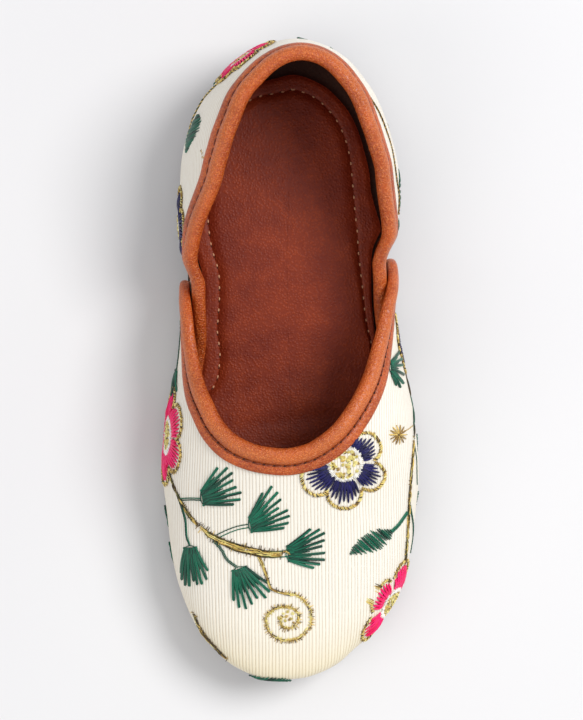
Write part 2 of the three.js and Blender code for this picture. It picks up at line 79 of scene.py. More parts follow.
def lamp(name, place, size, watts, tint=(1, 1, 1)):
    light = bpy.data.lights.new(name, "AREA")
    light.shape = "DISK"
    light.size = size
    light.energy = watts
    light.color = tint
    made = bpy.data.objects.new(name, light)
    made.location = place
    made.rotation_mode = "QUATERNION"
    made.rotation_quaternion = (Vector((0, 0, 0.02)) - Vector(place)).to_track_quat("-Z", "Y")
    scene.collection.objects.link(made)


lamp("key", (0.62, 0.30, 0.95), size=0.6, watts=10.4, tint=(1, 0.985, 0.96))
lamp("fill", (-0.75, -0.45, 0.8), size=0.9, watts=3.4, tint=(1, 0.94, 0.87))
print("lamps ready")

# %% [markdown]
# ## Materials are small node trees
# A finish could be put together by hand in the shader editor, but a script can be read and run
# again. One helper adds a node and fills or links its sockets, so a finish reads from the top down.

# %% Node helpers
def srgb(red, green, blue):
    parts = [c / 255 for c in (red, green, blue)]
    return tuple(c / 12.92 if c <= 0.04045 else ((c + 0.055) / 1.055) ** 2.4 for c in parts) + (1.0,)


def add(tree, kind, sockets=None, **settings):
    made = tree.nodes.new(kind)
    for key, value in settings.items():
        setattr(made, key, value)
    for key, value in (sockets or {}).items():
        if isinstance(value, bpy.types.NodeSocket):
            tree.links.new(value, made.inputs[key])
        else:
            made.inputs[key].default_value = value
    return made


def math_of(tree, operation, *values):
    return add(tree, "ShaderNodeMath", dict(enumerate(values)), operation=operation).outputs[0]


def mixed(tree, share, first, second):
    made = add(tree, "ShaderNodeMix", {"Factor": share, 6: first, 7: second}, data_type="RGBA")
    return made.outputs[2]


def ranged(tree, value, low, high, to_low=0.0, to_high=1.0):
    sockets = {"Value": value, "From Min": low, "From Max": high, "To Min": to_low, "To Max": to_high}
    return add(tree, "ShaderNodeMapRange", sockets, interpolation_type="SMOOTHSTEP").outputs[0]


def finish(name):
    material = bpy.data.materials.new(name)
    material.use_nodes = True
    tree = material.node_tree
    return material, tree, tree.nodes["Principled BSDF"]


def noise(tree, place, scale, detail=3.0, rough=0.5):
    sockets = {"Vector": place, "Scale": scale, "Detail": detail, "Roughness": rough}
    return add(tree, "ShaderNodeTexNoise", sockets).outputs[0]


def in_mm(tree):
    place = add(tree, "ShaderNodeTexCoord").outputs["Object"]
    return add(tree, "ShaderNodeVectorMath", {0: place, 3: 1000.0}, operation="SCALE").outputs[0]


def bump(tree, height, distance, strength=1.0):
    sockets = {"Height": height, "Distance": distance * MM, "Strength": strength}
    return add(tree, "ShaderNodeBump", sockets).outputs[0]


# %% [markdown]
# ## The form
# The upper was pulled over a last, so the cloth, the lining, the strips and the threads all lie on
# one smooth form. It could be sculpted, but then no two layers would fit. So the short tables that
# shape the model are used here too: an outline from above, sections across, and the side of the
# sole. A place along the foot is a share of the length.

# %% Sizes
length, width = 164, 66
collar_height, ridge_height = 45.5, 57
wall, gap = 1.3, 0.3
sole_thickness, heel_thickness = 4.2, 9.8
toe_spring, arch_height = 5.5, 4.5
insole_thickness = 2
bulge, tuck, sole_inset = 5, 1.6, 1.3
strip_thickness, strip_depth = 0.9, 5.8
overlap_inset = wall + gap + 0.1
edge_inset = wall + 2 * gap + 1.2 * strip_thickness
pocket = 1.8
shift_start, wall_shift = 0.06, 0.05
edge_start, edge_shift = 0.044, 0.052
edge_reach, edge_fade = 1.7, 0.7
pocket_shift = 0.1
seat_gap, back_gap = 3.6, 5.2
strip_end, strip_taper, strip_stop = 0.55, 16, 2.5
print("shoe", length, "by", width, "mm")


# %% A smooth curve through the rows of a table
def through(places, values):
    places, values = np.array(places, float), np.array(values, float)
    step = np.diff(places)
    slope = np.diff(values) / step
    tangent = np.zeros(len(places))
    tangent[0], tangent[-1] = slope[0], slope[-1]
    before, after = step[:-1], step[1:]
    rising = slope[:-1] * slope[1:] > 0
    first = np.where(rising, slope[:-1], 1)
    second = np.where(rising, slope[1:], 1)
    weight = (2 * after + before) / first + (after + 2 * before) / second
    tangent[1:-1] = np.where(rising, 3 * (before + after) / weight, 0)

    def at(place):
        here = np.clip(place, places[0], places[-1])
        i = np.clip(np.searchsorted(places, here, side="left") - 1, 0, len(step) - 1)
        t = (here - places[i]) / step[i]
        lead = t * (1 - t) ** 2 * step[i] * tangent[i]
        trail = t * t * (1 - t) * step[i] * tangent[i + 1]
        return values[i] + (values[i + 1] - values[i]) * t * t * (3 - 2 * t) + lead - trail

    return at


def columns(rows):
    table = np.array(rows, float).T
    return [through(table[0], values) for values in table[1:]]


def to_y(along):
    return (along - 0.5) * length


def to_along(y):
    return y / length + 0.5


def stretch(along):
    return np.arccos(1 - 2 * np.clip(along, 0, 1)) / np.pi


def unstretch(place):
    return (1 - np.cos(np.pi * place)) / 2


# %% Outline: along, middle, half (shares of half the width)
OUTLINE = [
    (0, -0.066, 0), (0.003, -0.066, 0.176), (0.008, -0.064, 0.256), (0.013, -0.06, 0.318),
    (0.028, -0.058, 0.445), (0.044, -0.056, 0.532), (0.067, -0.042, 0.65), (0.098, -0.027, 0.755),
    (0.13, -0.01, 0.838), (0.162, -0.006, 0.893), (0.193, 0, 0.93), (0.256, 0.002, 0.97),
    (0.32, 0, 1), (0.365, 0, 0.986), (0.413, -0.002, 0.962), (0.458, -0.006, 0.915),
    (0.506, -0.014, 0.868), (0.553, -0.024, 0.836), (0.61, -0.03, 0.812), (0.66, -0.034, 0.816),
    (0.72, -0.028, 0.852), (0.785, -0.02, 0.845), (0.85, -0.028, 0.786), (0.882, -0.024, 0.728),
    (0.912, -0.018, 0.65), (0.941, -0.01, 0.542), (0.965, 0, 0.425), (0.988, 0.01, 0.245),
    (0.997, 0.012, 0.12), (1, 0.012, 0),
]
middle_at, half_at = columns([(stretch(a), m, h) for a, m, h in OUTLINE])


def outline_point(place):
    at = np.minimum(np.abs(place), 1)
    side = np.where(np.asarray(place) < 0, -1, 1)
    return (middle_at(at) + side * half_at(at)) * width / 2, to_y(unstretch(at))


near_by = 0.004


def drawn_in(place, amount):
    before = outline_point(np.maximum(place - near_by, -1))
    after = outline_point(np.minimum(place + near_by, 1))
    run_x, run_y = after[0] - before[0], after[1] - before[1]
    run = np.hypot(run_x, run_y)
    x, y = outline_point(place)
    return x - run_y / run * amount, y + run_x / run * amount


print("widest", round(float(half_at(stretch(0.32)) * width), 1), "mm")

# %% Sections: along, spine, ridge, inner bend, outer bend
SECTIONS = [
    (0, -0.045, 0.4, 2.4, 2.4), (0.1, -0.055, 0.42, 2.4, 2.4), (0.21, -0.07, 0.48, 2.3, 2.3),
    (0.3, -0.085, 0.575, 2.2, 2.2), (0.365, -0.09, 0.655, 2.2, 2.2), (0.425, -0.075, 0.682, 2.25, 2.1),
    (0.503, -0.045, 0.685, 2.4, 2.1), (0.565, 0.015, 0.68, 3, 2.35), (0.625, 0.06, 0.69, 3.2, 3),
    (0.71, 0.09, 0.775, 2.45, 2.4), (0.79, 0.12, 0.893, 1.94, 2.04), (0.86, 0.13, 0.945, 2.1, 2.12),
    (0.92, 0.13, 0.975, 2.45, 2.45), (0.96, 0.13, 1.06, 2.4, 2.4), (1, 0.13, 1.16, 2.2, 2.2),
]
spine_at, ridge_at, inner_bend, outer_bend = columns(SECTIONS)

# Side of the sole: along, spring, arch, seat
SOLE = [
    (0, 1, 0, 0), (0.05, 0.55, 0, 0), (0.11, 0.2, 0, 0), (0.185, 0, 0, 0), (0.39, 0, 0, 0),
    (0.47, 0, 0.38, 0.13), (0.56, 0, 0.8, 0.42), (0.65, 0, 0.98, 0.74), (0.72, 0, 1, 0.92),
    (0.8, 0, 1, 1), (1, 0, 1, 1),
]
spring_at, arch_at, seat_at = columns(SOLE)
heel_front, heel_slope = to_y(0.715), 1.2


def sole_top(y):
    along = to_along(y)
    seat = seat_at(along) * (heel_thickness - sole_thickness)
    return spring_at(along) * toe_spring * 0.85 + sole_thickness + seat


def sole_bottom(y):
    along = to_along(y)
    drop = np.clip((y - heel_front) / heel_slope, 0, 1)
    return spring_at(along) * toe_spring + arch_at(along) * arch_height * (1 - drop)


def wide_at(y):
    return sole_top(y) + bulge


def foot_at(y):
    return sole_top(y) + gap


# %% The walls fan out round two centres, one for the toe and one for the heel
def fan(along, sign):
    turn = np.arange(241)
    start = stretch(along)
    back = np.where(turn <= 120, -start - (1 - start) * turn / 120, 1 - (1 - start) * (turn - 120) / 120)
    x, y = outline_point(-start + 2 * start * turn / 240 if sign < 0 else back)
    centre = np.array([spine_at(along) * width / 2, to_y(along)])
    dx, dy = x - centre[0], (y - centre[1]) * sign
    return centre, np.arctan2(dx, np.maximum(dy, 0)), np.hypot(dx, dy)


TOE_ALONG, HEEL_ALONG = 0.21, 0.79
toe_fan, heel_fan = fan(TOE_ALONG, -1), fan(HEEL_ALONG, 1)


def spread(x, y):
    along = to_along(y)
    centre_x = spine_at(along) * width / 2
    centre_y = np.array(y, float)
    side = np.where(x < centre_x, -1, 1)
    reach = np.abs(outline_point(side * stretch(along))[0] - centre_x)
    for (centre, angles, reaches), sign, here in (
        (toe_fan, -1, along < TOE_ALONG),
        (heel_fan, 1, along > HEEL_ALONG),
    ):
        dx, dy = x - centre[0], (y - centre[1]) * sign
        fanned = np.interp(np.arctan2(dx, np.maximum(dy, 0)), angles, reaches)
        reach = np.where(here, fanned, reach)
        centre_x = np.where(here, centre[0], centre_x)
        centre_y = np.where(here, centre[1], centre_y)
        side = np.where(here, np.where(dx < 0, -1, 1), side)
    share = np.hypot(x - centre_x, y - centre_y) / reach
    return centre_x, centre_y, reach, share, side


def bend_at(y, side):
    along = to_along(y)
    return np.where(side < 0, inner_bend(along), outer_bend(along))


def height_of(share, y, side):
    bend = bend_at(y, side)
    low = wide_at(y)
    rise = np.maximum(1 - np.minimum(share, 1) ** bend, 0) ** (1 / bend)
    return low + (ridge_at(to_along(y)) * ridge_height - low) * rise


def share_of(z, y, side, reach):
    low = wide_at(y)
    bend = bend_at(y, side)
    rise = np.clip((z - low) / (ridge_at(to_along(y)) * ridge_height - low), 0, 1)
    tucked = 1 - tuck * (np.maximum(low - z, 0) / bulge) ** 2 / reach
    return np.where(z < low, tucked, (1 - rise ** bend) ** (1 / bend))


def side_point(place, z):
    place, z = np.broadcast_arrays(np.asarray(place, float), np.asarray(z, float))
    edge_x, edge_y = outline_point(place)
    centre_x, centre_y, reach, _, _ = spread(edge_x, edge_y)
    side = np.where(place < 0, -1, 1)
    x, y = edge_x, edge_y
    for _ in range(12):
        share = share_of(z, y, side, reach)
        x = centre_x + (edge_x - centre_x) * share
        y = centre_y + (edge_y - centre_y) * share
    return np.stack([x, y, z], -1)


# %% How far a point is outside the form, which way is out, and the nearest point on it
def outside(point):
    x, y, z = point[..., 0], point[..., 1], point[..., 2]
    _, _, reach, share, side = spread(x, y)
    by_side = (share - share_of(z, y, side, reach)) * reach
    by_height = z - height_of(share, y, side)
    return np.where((z < wide_at(y)) | (share > 0.72), by_side, by_height)


def steepest(point):
    step = 0.05 * np.eye(3)
    slopes = [(outside(point + d) - outside(point - d)) / 0.1 for d in step]
    return np.stack(slopes, -1)


def unit(vectors):
    return vectors / np.maximum(np.linalg.norm(vectors, axis=-1, keepdims=True), 1e-9)


def settled(point):
    at = np.array(point, float)
    for _ in range(6):
        slope = steepest(at)
        at = at - slope * (outside(at) / (slope * slope).sum(-1))[..., None]
    return at


def eased(share):
    t = np.clip(share, 0, 1)
    return t * t * (3 - 2 * t)


print("form ready, ridge at the ball", round(float(ridge_at(0.3) * ridge_height), 1), "mm")

# %% [markdown]
# ## From sheets of points to pieces
# A cloth wall is two sheets of points with the same rows and columns, joined round the rim. A
# Solidify modifier could thicken one sheet, but here both faces are known, and they differ. A
# folded strip is one section moved along an edge. Both leave numpy here and become meshes.

# %% Mesh helpers
def face_out(points, faces):
    corners = points[faces[:, :3]]
    volume = np.einsum("ij,ij->i", corners[:, 0], np.cross(corners[:, 1], corners[:, 2])).sum()
    if faces.shape[1] == 4:
        rest = points[faces[:, [0, 2, 3]]]
        volume += np.einsum("ij,ij->i", rest[:, 0], np.cross(rest[:, 1], rest[:, 2])).sum()
    return faces if volume > 0 else faces[:, ::-1]


def sewn(name, points, faces, material, sharp=40, **values):
    mesh = bpy.data.meshes.new(name)
    mesh.from_pydata((np.asarray(points) * MM).tolist(), [], [list(map(int, f)) for f in faces])
    for key, value in values.items():
        value = np.asarray(value, np.float32)
        kind, slot = ("FLOAT", "value") if value.ndim == 1 else ("FLOAT_VECTOR", "vector")
        mesh.attributes.new(key, kind, "POINT").data.foreach_set(slot, value.ravel())
    mesh.materials.append(material)
    mesh.shade_smooth()
    mesh.set_sharp_from_angle(angle=math.radians(sharp))
    made = bpy.data.objects.new(name, mesh)
    scene.collection.objects.link(made)
    return made


def walled(outer, inner):
    rows, across = outer.shape[:2]
    index = np.arange(rows * across).reshape(rows, across)
    corners = [index[:-1, :-1], index[1:, :-1], index[1:, 1:], index[:-1, 1:]]
    front = np.stack(corners, -1).reshape(-1, 4)
    rim = np.concatenate([index[:, 0], index[-1, 1:], index[-2::-1, -1], index[0, -2:0:-1]])
    after = np.roll(rim, -1)
    count = rows * across
    edge = np.stack([after, rim, rim + count, after + count], -1)
    faces = np.concatenate([front, front[:, ::-1] + count, edge])
    points = np.concatenate([outer.reshape(-1, 3), inner.reshape(-1, 3)])
    return points, face_out(points, faces)


def inward(sheet, amount):
    normal = steepest(sheet)
    normal[:, 0, 2] = 0
    return sheet - unit(normal) * np.asarray(amount)[..., None]


# %% [markdown]
# ## Cloth finish
# Ribbed ivory silk and cotton: raised cords side by side, with painted shade in the gap between them, slubs
# here and there, and a yellower painted sheen low on the toe and the low walls. A picture of cloth would
# repeat and blur up close, so a sine makes the ribs. They follow a `cloth` attribute, millimetres across and
# along the weave, so that they bend with the form and never slide.

# %% Ribbed cloth
RIB_PITCH = 0.86


def ribbed_cloth():
    material, tree, shader = finish("ribbed_cloth")
    cloth = add(tree, "ShaderNodeAttribute", attribute_name="cloth").outputs["Vector"]
    pale = add(tree, "ShaderNodeAttribute", attribute_name="pale").outputs["Fac"]
    parts = add(tree, "ShaderNodeSeparateXYZ", {0: cloth}).outputs
    broad = add(tree, "ShaderNodeVectorMath", {0: cloth, 1: (0.6, 0.05, 1)}, operation="MULTIPLY").outputs[0]
    fine = add(tree, "ShaderNodeVectorMath", {0: cloth, 1: (1.2, 0.11, 1)}, operation="MULTIPLY").outputs[0]
    drift = noise(tree, broad, 1.0)
    slub = noise(tree, fine, 1.0, detail=4.0, rough=0.6)
    across = math_of(tree, "ADD", parts[0], math_of(tree, "MULTIPLY", drift, 0.5))
    turn = math_of(tree, "MULTIPLY", across, math.pi / RIB_PITCH)
    rib = math_of(tree, "ABSOLUTE", math_of(tree, "SINE", turn))
    weave = math_of(tree, "ABSOLUTE", math_of(tree, "SINE", math_of(tree, "MULTIPLY", parts[1], 9.0)))
    # The cloth turns a yellower ivory low on the toe and low on the walls: painted sheen, standing for the
    # silk's grazing light there.
    ivory = mixed(tree, pale, srgb(242, 237, 226), srgb(242, 231, 202))
    # The gap colour is painted shade in the hollows between the cords; a noise breaks it up here and there.
    gap_shade = mixed(tree, pale, srgb(210, 194, 168), srgb(214, 192, 150))
    gap_shade_breaks = ranged(tree, noise(tree, cloth, 0.55, detail=3.0, rough=0.65), 0.46, 0.68, to_low=0.0, to_high=0.6)
    filled = math_of(tree, "MAXIMUM", ranged(tree, rib, 0.02, 0.46), gap_shade_breaks)
    colour = mixed(tree, filled, gap_shade, ivory)
    colour = mixed(tree, ranged(tree, slub, 0.58, 0.8, to_low=0, to_high=0.35), colour, srgb(236, 214, 190))
    height = math_of(tree, "ADD", rib, math_of(tree, "MULTIPLY", weave, 0.12))
    height = math_of(tree, "ADD", height, math_of(tree, "MULTIPLY", slub, 0.7))
    tree.links.new(colour, shader.inputs["Base Color"])
    tree.links.new(bump(tree, height, 0.11), shader.inputs["Normal"])
    shader.inputs["Roughness"].default_value = 0.6
    shader.inputs["Sheen Weight"].default_value = 0.18
    shader.inputs["Sheen Roughness"].default_value = 0.45
    shader.inputs["Specular IOR Level"].default_value = 0.35
    return material


cloth_finish = ribbed_cloth()


# %% [markdown]
# ## Leather-look finishes
# The strips, the lining and the insole are one family of tan coated material: fine pebbled grain with painted
# shade between the pebbles and light speckles that are partly its own tone and partly painted glints, uneven
# dye, and a painted highlight along the crest of the strip's fold. Each could have a tree of its own, but one
# function keeps them a family, with its own colours for each use.

# %% Grained leather-look
def grained(name, dark, mid, light, roughness=0.42, pebble=1.5, relief=0.09, speckled=0.5, gloss=0.34):
    material, tree, shader = finish(name)
    place = in_mm(tree)
    cloud = noise(tree, place, 0.12, detail=4.0, rough=0.6)
    speckle = noise(tree, place, 1.6, detail=4.0, rough=0.75)
    cells = add(tree, "ShaderNodeTexVoronoi", {"Vector": place, "Scale": pebble, "Randomness": 0.9})
    crest = ranged(tree, cells.outputs["Distance"], 0.15, 0.62, to_low=1.0, to_high=0.0)
    bloom = add(tree, "ShaderNodeAttribute", attribute_name="bloom").outputs["Fac"]
    colour = mixed(tree, ranged(tree, cloud, 0.3, 0.7), dark, mid)
    # Light speckles on the grain: partly its own tone, partly painted glints.
    colour = mixed(tree, ranged(tree, speckle, 0.42, 0.66, to_low=0, to_high=speckled), colour, light)
    # The crest of a strip's roll turns towards the light tone: a painted highlight.
    colour = mixed(tree, math_of(tree, "MULTIPLY", bloom, 0.45), colour, light)
    # Darker between the pebbles: painted shade in the hollows of the grain.
    colour = mixed(tree, ranged(tree, crest, 0.0, 0.5, to_low=0.45, to_high=0.0), colour, dark)
    height = math_of(tree, "ADD", crest, math_of(tree, "MULTIPLY", speckle, 0.7))
    tree.links.new(colour, shader.inputs["Base Color"])
    tree.links.new(bump(tree, height, relief), shader.inputs["Normal"])
    rough = ranged(tree, speckle, 0.25, 0.75, to_low=roughness - 0.07, to_high=roughness + 0.1)
    tree.links.new(rough, shader.inputs["Roughness"])
    shader.inputs["Specular IOR Level"].default_value = gloss
    return material


strip_finish = grained(
    "tan_strip", srgb(150, 56, 14), srgb(200, 87, 26), srgb(236, 136, 64),
    roughness=0.32, pebble=2.1, relief=0.13, speckled=0.6, gloss=0.5,
)
insole_finish = grained(
    "tan_insole", srgb(112, 33, 12), srgb(142, 52, 19), srgb(168, 74, 32),
    roughness=0.5, pebble=1.5, relief=0.07, speckled=0.25, gloss=0.28,
)
lining_finish = grained(
    "tan_lining", srgb(116, 34, 10), srgb(160, 56, 20), srgb(186, 82, 34),
    roughness=0.55, pebble=1.6, relief=0.06, speckled=0.35, gloss=0.3,
)
sole_finish = grained(
    "brown_sole", srgb(52, 30, 20), srgb(66, 38, 25), srgb(90, 56, 38),
    roughness=0.62, pebble=1.2, relief=0.04,
)
print("materials:", len(bpy.data.materials))

# %% [markdown]
# ## Vamp
# The vamp is one piece of cloth with a U cut for the instep and two wings that run back. A cage
# with subdivision could make it, but its edge would drift off the measured U. So it is drawn as
# ribs of points: each starts where the cloth meets the sole and ends on the U. The edge table
# gives a place on the section, 0 on the inner side, 1 on the ridge, 2 on the outer side.

# %% Edge of the vamp: along, around, foot
THROAT = [
    (0.62, 0.0064, 0.62), (0.6145, 0.035, 0.6145), (0.603, 0.075, 0.603), (0.586, 0.15, 0.5845),
    (0.563, 0.232, 0.559), (0.536, 0.285, 0.527), (0.505, 0.349, 0.491), (0.461, 0.458, 0.436),
    (0.43, 0.558, 0.388), (0.402, 0.64, 0.321), (0.375, 0.765, 0.209), (0.361, 0.9, 0.076),
    (0.3575, 1, 0), (0.363, 1.075, 0.076), (0.378, 1.155, 0.197), (0.398, 1.232, 0.294),
    (0.425, 1.31, 0.364), (0.45, 1.378, 0.412), (0.482, 1.46, 0.461), (0.528, 1.558, 0.515),
    (0.556, 1.615, 0.549), (0.588, 1.695, 0.585), (0.608, 1.79, 0.608), (0.63, 1.888, 0.63),
    (0.6475, 1.947, 0.6475), (0.654, 1.9936, 0.654),
]


def throat_point(along, around):
    side = np.where(around < 1, -1, 1)
    turn = np.where(around < 1, around, 2 - around)
    y = to_y(along)
    bend = bend_at(y, side)
    low = wide_at(y)
    share = np.cos(turn * np.pi / 2) ** (2 / bend)
    rise = np.sin(turn * np.pi / 2) ** (2 / bend)
    spine = spine_at(along) * width / 2
    edge_x = outline_point(side * stretch(along))[0]
    z = low + (ridge_at(along) * ridge_height - low) * rise
    return np.stack([spine + (edge_x - spine) * share, y, z], -1)


throat = np.array(THROAT)
corners = throat_point(throat[:, 0], throat[:, 1])
throat_run = np.concatenate([[0], np.cumsum(np.linalg.norm(np.diff(corners, axis=0), axis=1))])
along_throat = through(throat_run, throat[:, 0])
around_throat = through(throat_run, throat[:, 1])
foot_of_throat = through(throat_run, np.where(throat[:, 1] < 1, -1, 1) * stretch(throat[:, 2]))
print("edge of the vamp", round(throat_run[-1], 1), "mm")


# %% Sheet of the vamp
def vamp_sheet(run, low_levels=7, levels=38):
    place = foot_of_throat(run)
    edge_x, edge_y = outline_point(place)
    top = throat_point(along_throat(run), around_throat(run))
    low, foot = wide_at(edge_y), foot_at(edge_y)
    rows = [side_point(place, foot + (low - foot) * s) for s in np.linspace(0, 1, low_levels)]
    for i in range(1, levels):
        share = 1 - math.cos(i / levels * math.pi / 2)
        x = edge_x + (top[:, 0] - edge_x) * share
        y = edge_y + (top[:, 1] - edge_y) * share
        _, _, _, part, side = spread(x, y)
        rows.append(np.stack([x, y, height_of(part, y, side)], -1))
    rows.append(top)
    return np.stack(rows, 1)


rib_step = 0.9


def fine_runs():
    parts = [np.array([0.0])]
    for i in range(len(throat_run) - 1):
        near = np.array(outline_point(foot_of_throat(throat_run[i])))
        far = np.array(outline_point(foot_of_throat(throat_run[i + 1])))
        reach = max(np.hypot(*(far - near)), throat_run[i + 1] - throat_run[i])
        count = max(int(reach / rib_step), 2)
        parts.append(np.linspace(throat_run[i], throat_run[i + 1], count + 1)[1:])
    return np.concatenate(parts)


vamp = vamp_sheet(fine_runs())
print("vamp sheet", vamp.shape)

# %% [markdown]
# Cloth that was lasted over a toe is never quite smooth: small gathers sit where it turns under, and soft
# hollows lie where the foot will bend. Each is listed as a trough or a ridge, with its centre, its direction
# and its size, and all of them are added along the normal.

# %% Creases: x, y, turn in degrees, half length, half width, height in mm
CREASES = [
    (-19, -40, 62, 12, 4.5, -0.32), (-25, -27, 75, 10, 3.5, -0.28), (-27, -12, 84, 11, 3.2, 0.24),
    (20, -38, -58, 12, 4.5, -0.3), (26, -24, -74, 10, 3.6, -0.28), (28, -8, -86, 12, 3.2, 0.22),
    (-2, -62, 4, 12, 4.0, -0.22), (8, -70, 18, 8, 2.6, 0.18), (-12, -69, -22, 8, 2.6, 0.2),
    (-30, 22, 88, 10, 2.6, -0.25), (29, 26, -88, 10, 2.6, -0.25), (-26, 52, 96, 9, 3.5, 0.25),
    (27, 58, -100, 9, 3.5, 0.22), (0, 79, 0, 9, 4.0, -0.2),
]
print("creases", len(CREASES))


gather_height, gather_rise = 0.13, 5.5


def dents(table, x, y):
    rise = 0 * x
    for cx, cy, turn, half_run, half_wide, height in table:
        c, s = math.cos(math.radians(turn)), math.sin(math.radians(turn))
        run = ((x - cx) * c + (y - cy) * s) / half_run
        wide = (-(x - cx) * s + (y - cy) * c) / half_wide
        rise = rise + height * np.exp(-(run ** 2 + wide ** 2))
    return rise


def creased(point):
    x, y, z = point[..., 0], point[..., 1], point[..., 2]
    low = 1 - eased((z - foot_at(y)) / gather_rise)
    turn = np.arctan2(x, np.where(y < 0, y + 40, y - 45))
    gathers = np.sin(turn * 31 + 2.0 * np.sin(turn * 5)) * 0.5 + 0.5 * np.sin(turn * 53 + 1)
    return dents(CREASES, x, y) + gather_height * low * gathers


# %% Weave coordinates of the vamp: millimetres across from the spine, and along
WEAVE_Y = np.linspace(to_y(0.0008), to_y(0.68), 420)
WEAVE_T = np.linspace(0, 1, 121)


def weave_table(side):
    y = WEAVE_Y[:, None] + 0 * WEAVE_T
    spine = spine_at(to_along(y)) * width / 2
    edge_x = outline_point(side * stretch(to_along(y)))[0]
    x = spine + (edge_x - spine) * np.sin(WEAVE_T * np.pi / 2) * 0.9999
    _, _, _, share, found = spread(x, y)
    z = height_of(share, y, found)
    run = np.hypot(np.diff(x, axis=1), np.diff(z, axis=1))
    return np.concatenate([np.zeros((len(WEAVE_Y), 1)), np.cumsum(run, axis=1)], axis=1)


weave_tables = {-1: weave_table(-1), 1: weave_table(1)}


def weave_at(point):
    x, y, z = point[..., 0], point[..., 1], point[..., 2]
    spine = spine_at(to_along(y)) * width / 2
    side = np.where(x < spine, -1, 1)
    edge_x = outline_point(side * stretch(to_along(y)))[0]
    t = np.arcsin(np.clip(np.abs(x - spine) / np.maximum(np.abs(edge_x - spine), 1e-6), 0, 1)) * 2 / np.pi
    row = np.clip(np.interp(y, WEAVE_Y, np.arange(len(WEAVE_Y))), 0, len(WEAVE_Y) - 1.001)
    column = np.clip(t * (len(WEAVE_T) - 1), 0, len(WEAVE_T) - 1.001)
    i, j = row.astype(int), column.astype(int)
    a, b = row - i, column - j
    across = np.zeros(x.shape)
    for key, table in weave_tables.items():
        found = (
            table[i, j] * (1 - a) * (1 - b) + table[i + 1, j] * a * (1 - b)
            + table[i, j + 1] * (1 - a) * b + table[i + 1, j + 1] * a * b
        )
        across = np.where(side == key, found * key, across)
    below = np.maximum(wide_at(y) - z, 0)
    sideways = np.clip((to_along(y) - 0.02) / 0.15, 0, 1)
    return np.stack([across + side * below * sideways, y - below * (1 - sideways), 0 * x], -1)


# %% Vamp cloth and its lining
cloth_thickness, lining_start = 0.6, 0.72


def dressed(name, outer, inner, cloth, pale, node):
    points, faces = walled(outer, inner)
    twice = np.concatenate([cloth.reshape(-1, 3)] * 2)
    made = sewn(name, points, faces, cloth_finish, cloth=twice, pale=np.concatenate([pale.ravel()] * 2))
    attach(made, "root")
    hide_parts(node)
    return made


def lined(name, sheet, node, moved=0.0):
    points, faces = walled(inward(sheet, moved + lining_start), inward(sheet, moved + wall))
    made = sewn(name, points, faces, lining_finish, bloom=np.zeros(len(points)))
    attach(made, "root")
    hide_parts(node)


# A yellower tone low on the toe and low on every wall: painted sheen for the silk catching grazing light.
def painted_toe_sheen(point):
    toe = eased((0.16 - to_along(point[..., 1])) / 0.13)
    low = 1 - eased((point[..., 2] - foot_at(point[..., 1]) - 3) / 14)
    return np.clip(toe * (0.25 + 0.75 * low) + 0.35 * low, 0, 1)


vamp_outer = inward(vamp, -creased(vamp))
vamp_inner = inward(vamp, cloth_thickness - creased(vamp))
vamp_cloth = dressed("vamp_cloth", vamp_outer, vamp_inner, weave_at(vamp), painted_toe_sheen(vamp), "vamp")
lined("vamp_lining", vamp, "vamp")
print("vamp", len(vamp_cloth.data.vertices), "points")

# %% [markdown]
# ## Quarter
# The quarter is a band of the same cloth round the heel. Its front ends are tucked inside the
# wings of the vamp. A cloth simulation could tuck them, but slowly and without a measured gap. So
# the sheet is first laid on the form and then moved in where they overlap.

# %% Collar: along, height as a share of the collar height
COLLAR = [
    (0.488, 0.25), (0.52, 0.32), (0.555, 0.4), (0.591, 0.475), (0.627, 0.55), (0.67, 0.64),
    (0.718, 0.74), (0.779, 0.845), (0.845, 0.92), (0.912, 0.967), (0.96, 0.99), (1, 1),
]
(collar_at,) = columns(COLLAR)
quarter_front = stretch(COLLAR[0][0])


def overlap_at(point):
    x, y, z = point[..., 0], point[..., 1], point[..., 2]
    along = to_along(y)
    ahead = np.where(x < 0, THROAT[0][2], THROAT[-1][2]) - along
    low, high = foot_at(y), collar_at(along) * collar_height
    up = eased((z - low) / (high - low))
    edge = eased((z - high + edge_reach * strip_depth) / (edge_fade * strip_depth))
    wall_in = overlap_inset * eased((ahead + shift_start) / wall_shift)
    edge_in = edge_inset * eased((ahead + edge_start) / edge_shift)
    tucked = np.where(x < 0, pocket, 0) * eased(ahead / pocket_shift) * up
    return wall_in + (edge_in - wall_in) * edge + tucked


def quarter_sheet(ribs=300, levels=30):
    turn = -1 + 2 * np.arange(ribs + 1) / ribs
    place = np.where(turn < 0, -1, 1) * (1 - np.abs(turn) * (1 - quarter_front))
    y = outline_point(place)[1]
    low, high = foot_at(y), collar_at(to_along(y)) * collar_height
    share = np.linspace(0, 1, levels + 1)[None, :]
    return side_point(place[:, None], low[:, None] + (high - low)[:, None] * share)


quarter_form = quarter_sheet()
quarter_moved = overlap_at(quarter_form)
quarter = inward(quarter_form, quarter_moved)

# %% Quarter cloth and its lining
up_steps = np.linalg.norm(np.diff(quarter, axis=1), axis=2)
up_run = np.concatenate([np.zeros((len(quarter), 1)), np.cumsum(up_steps, axis=1)], 1)
round_run = np.concatenate([[0], np.cumsum(np.linalg.norm(np.diff(quarter[:, 8], axis=0), axis=1))])
quarter_weave = np.stack([up_run, round_run[:, None] + 0 * up_run, 0 * up_run], -1)
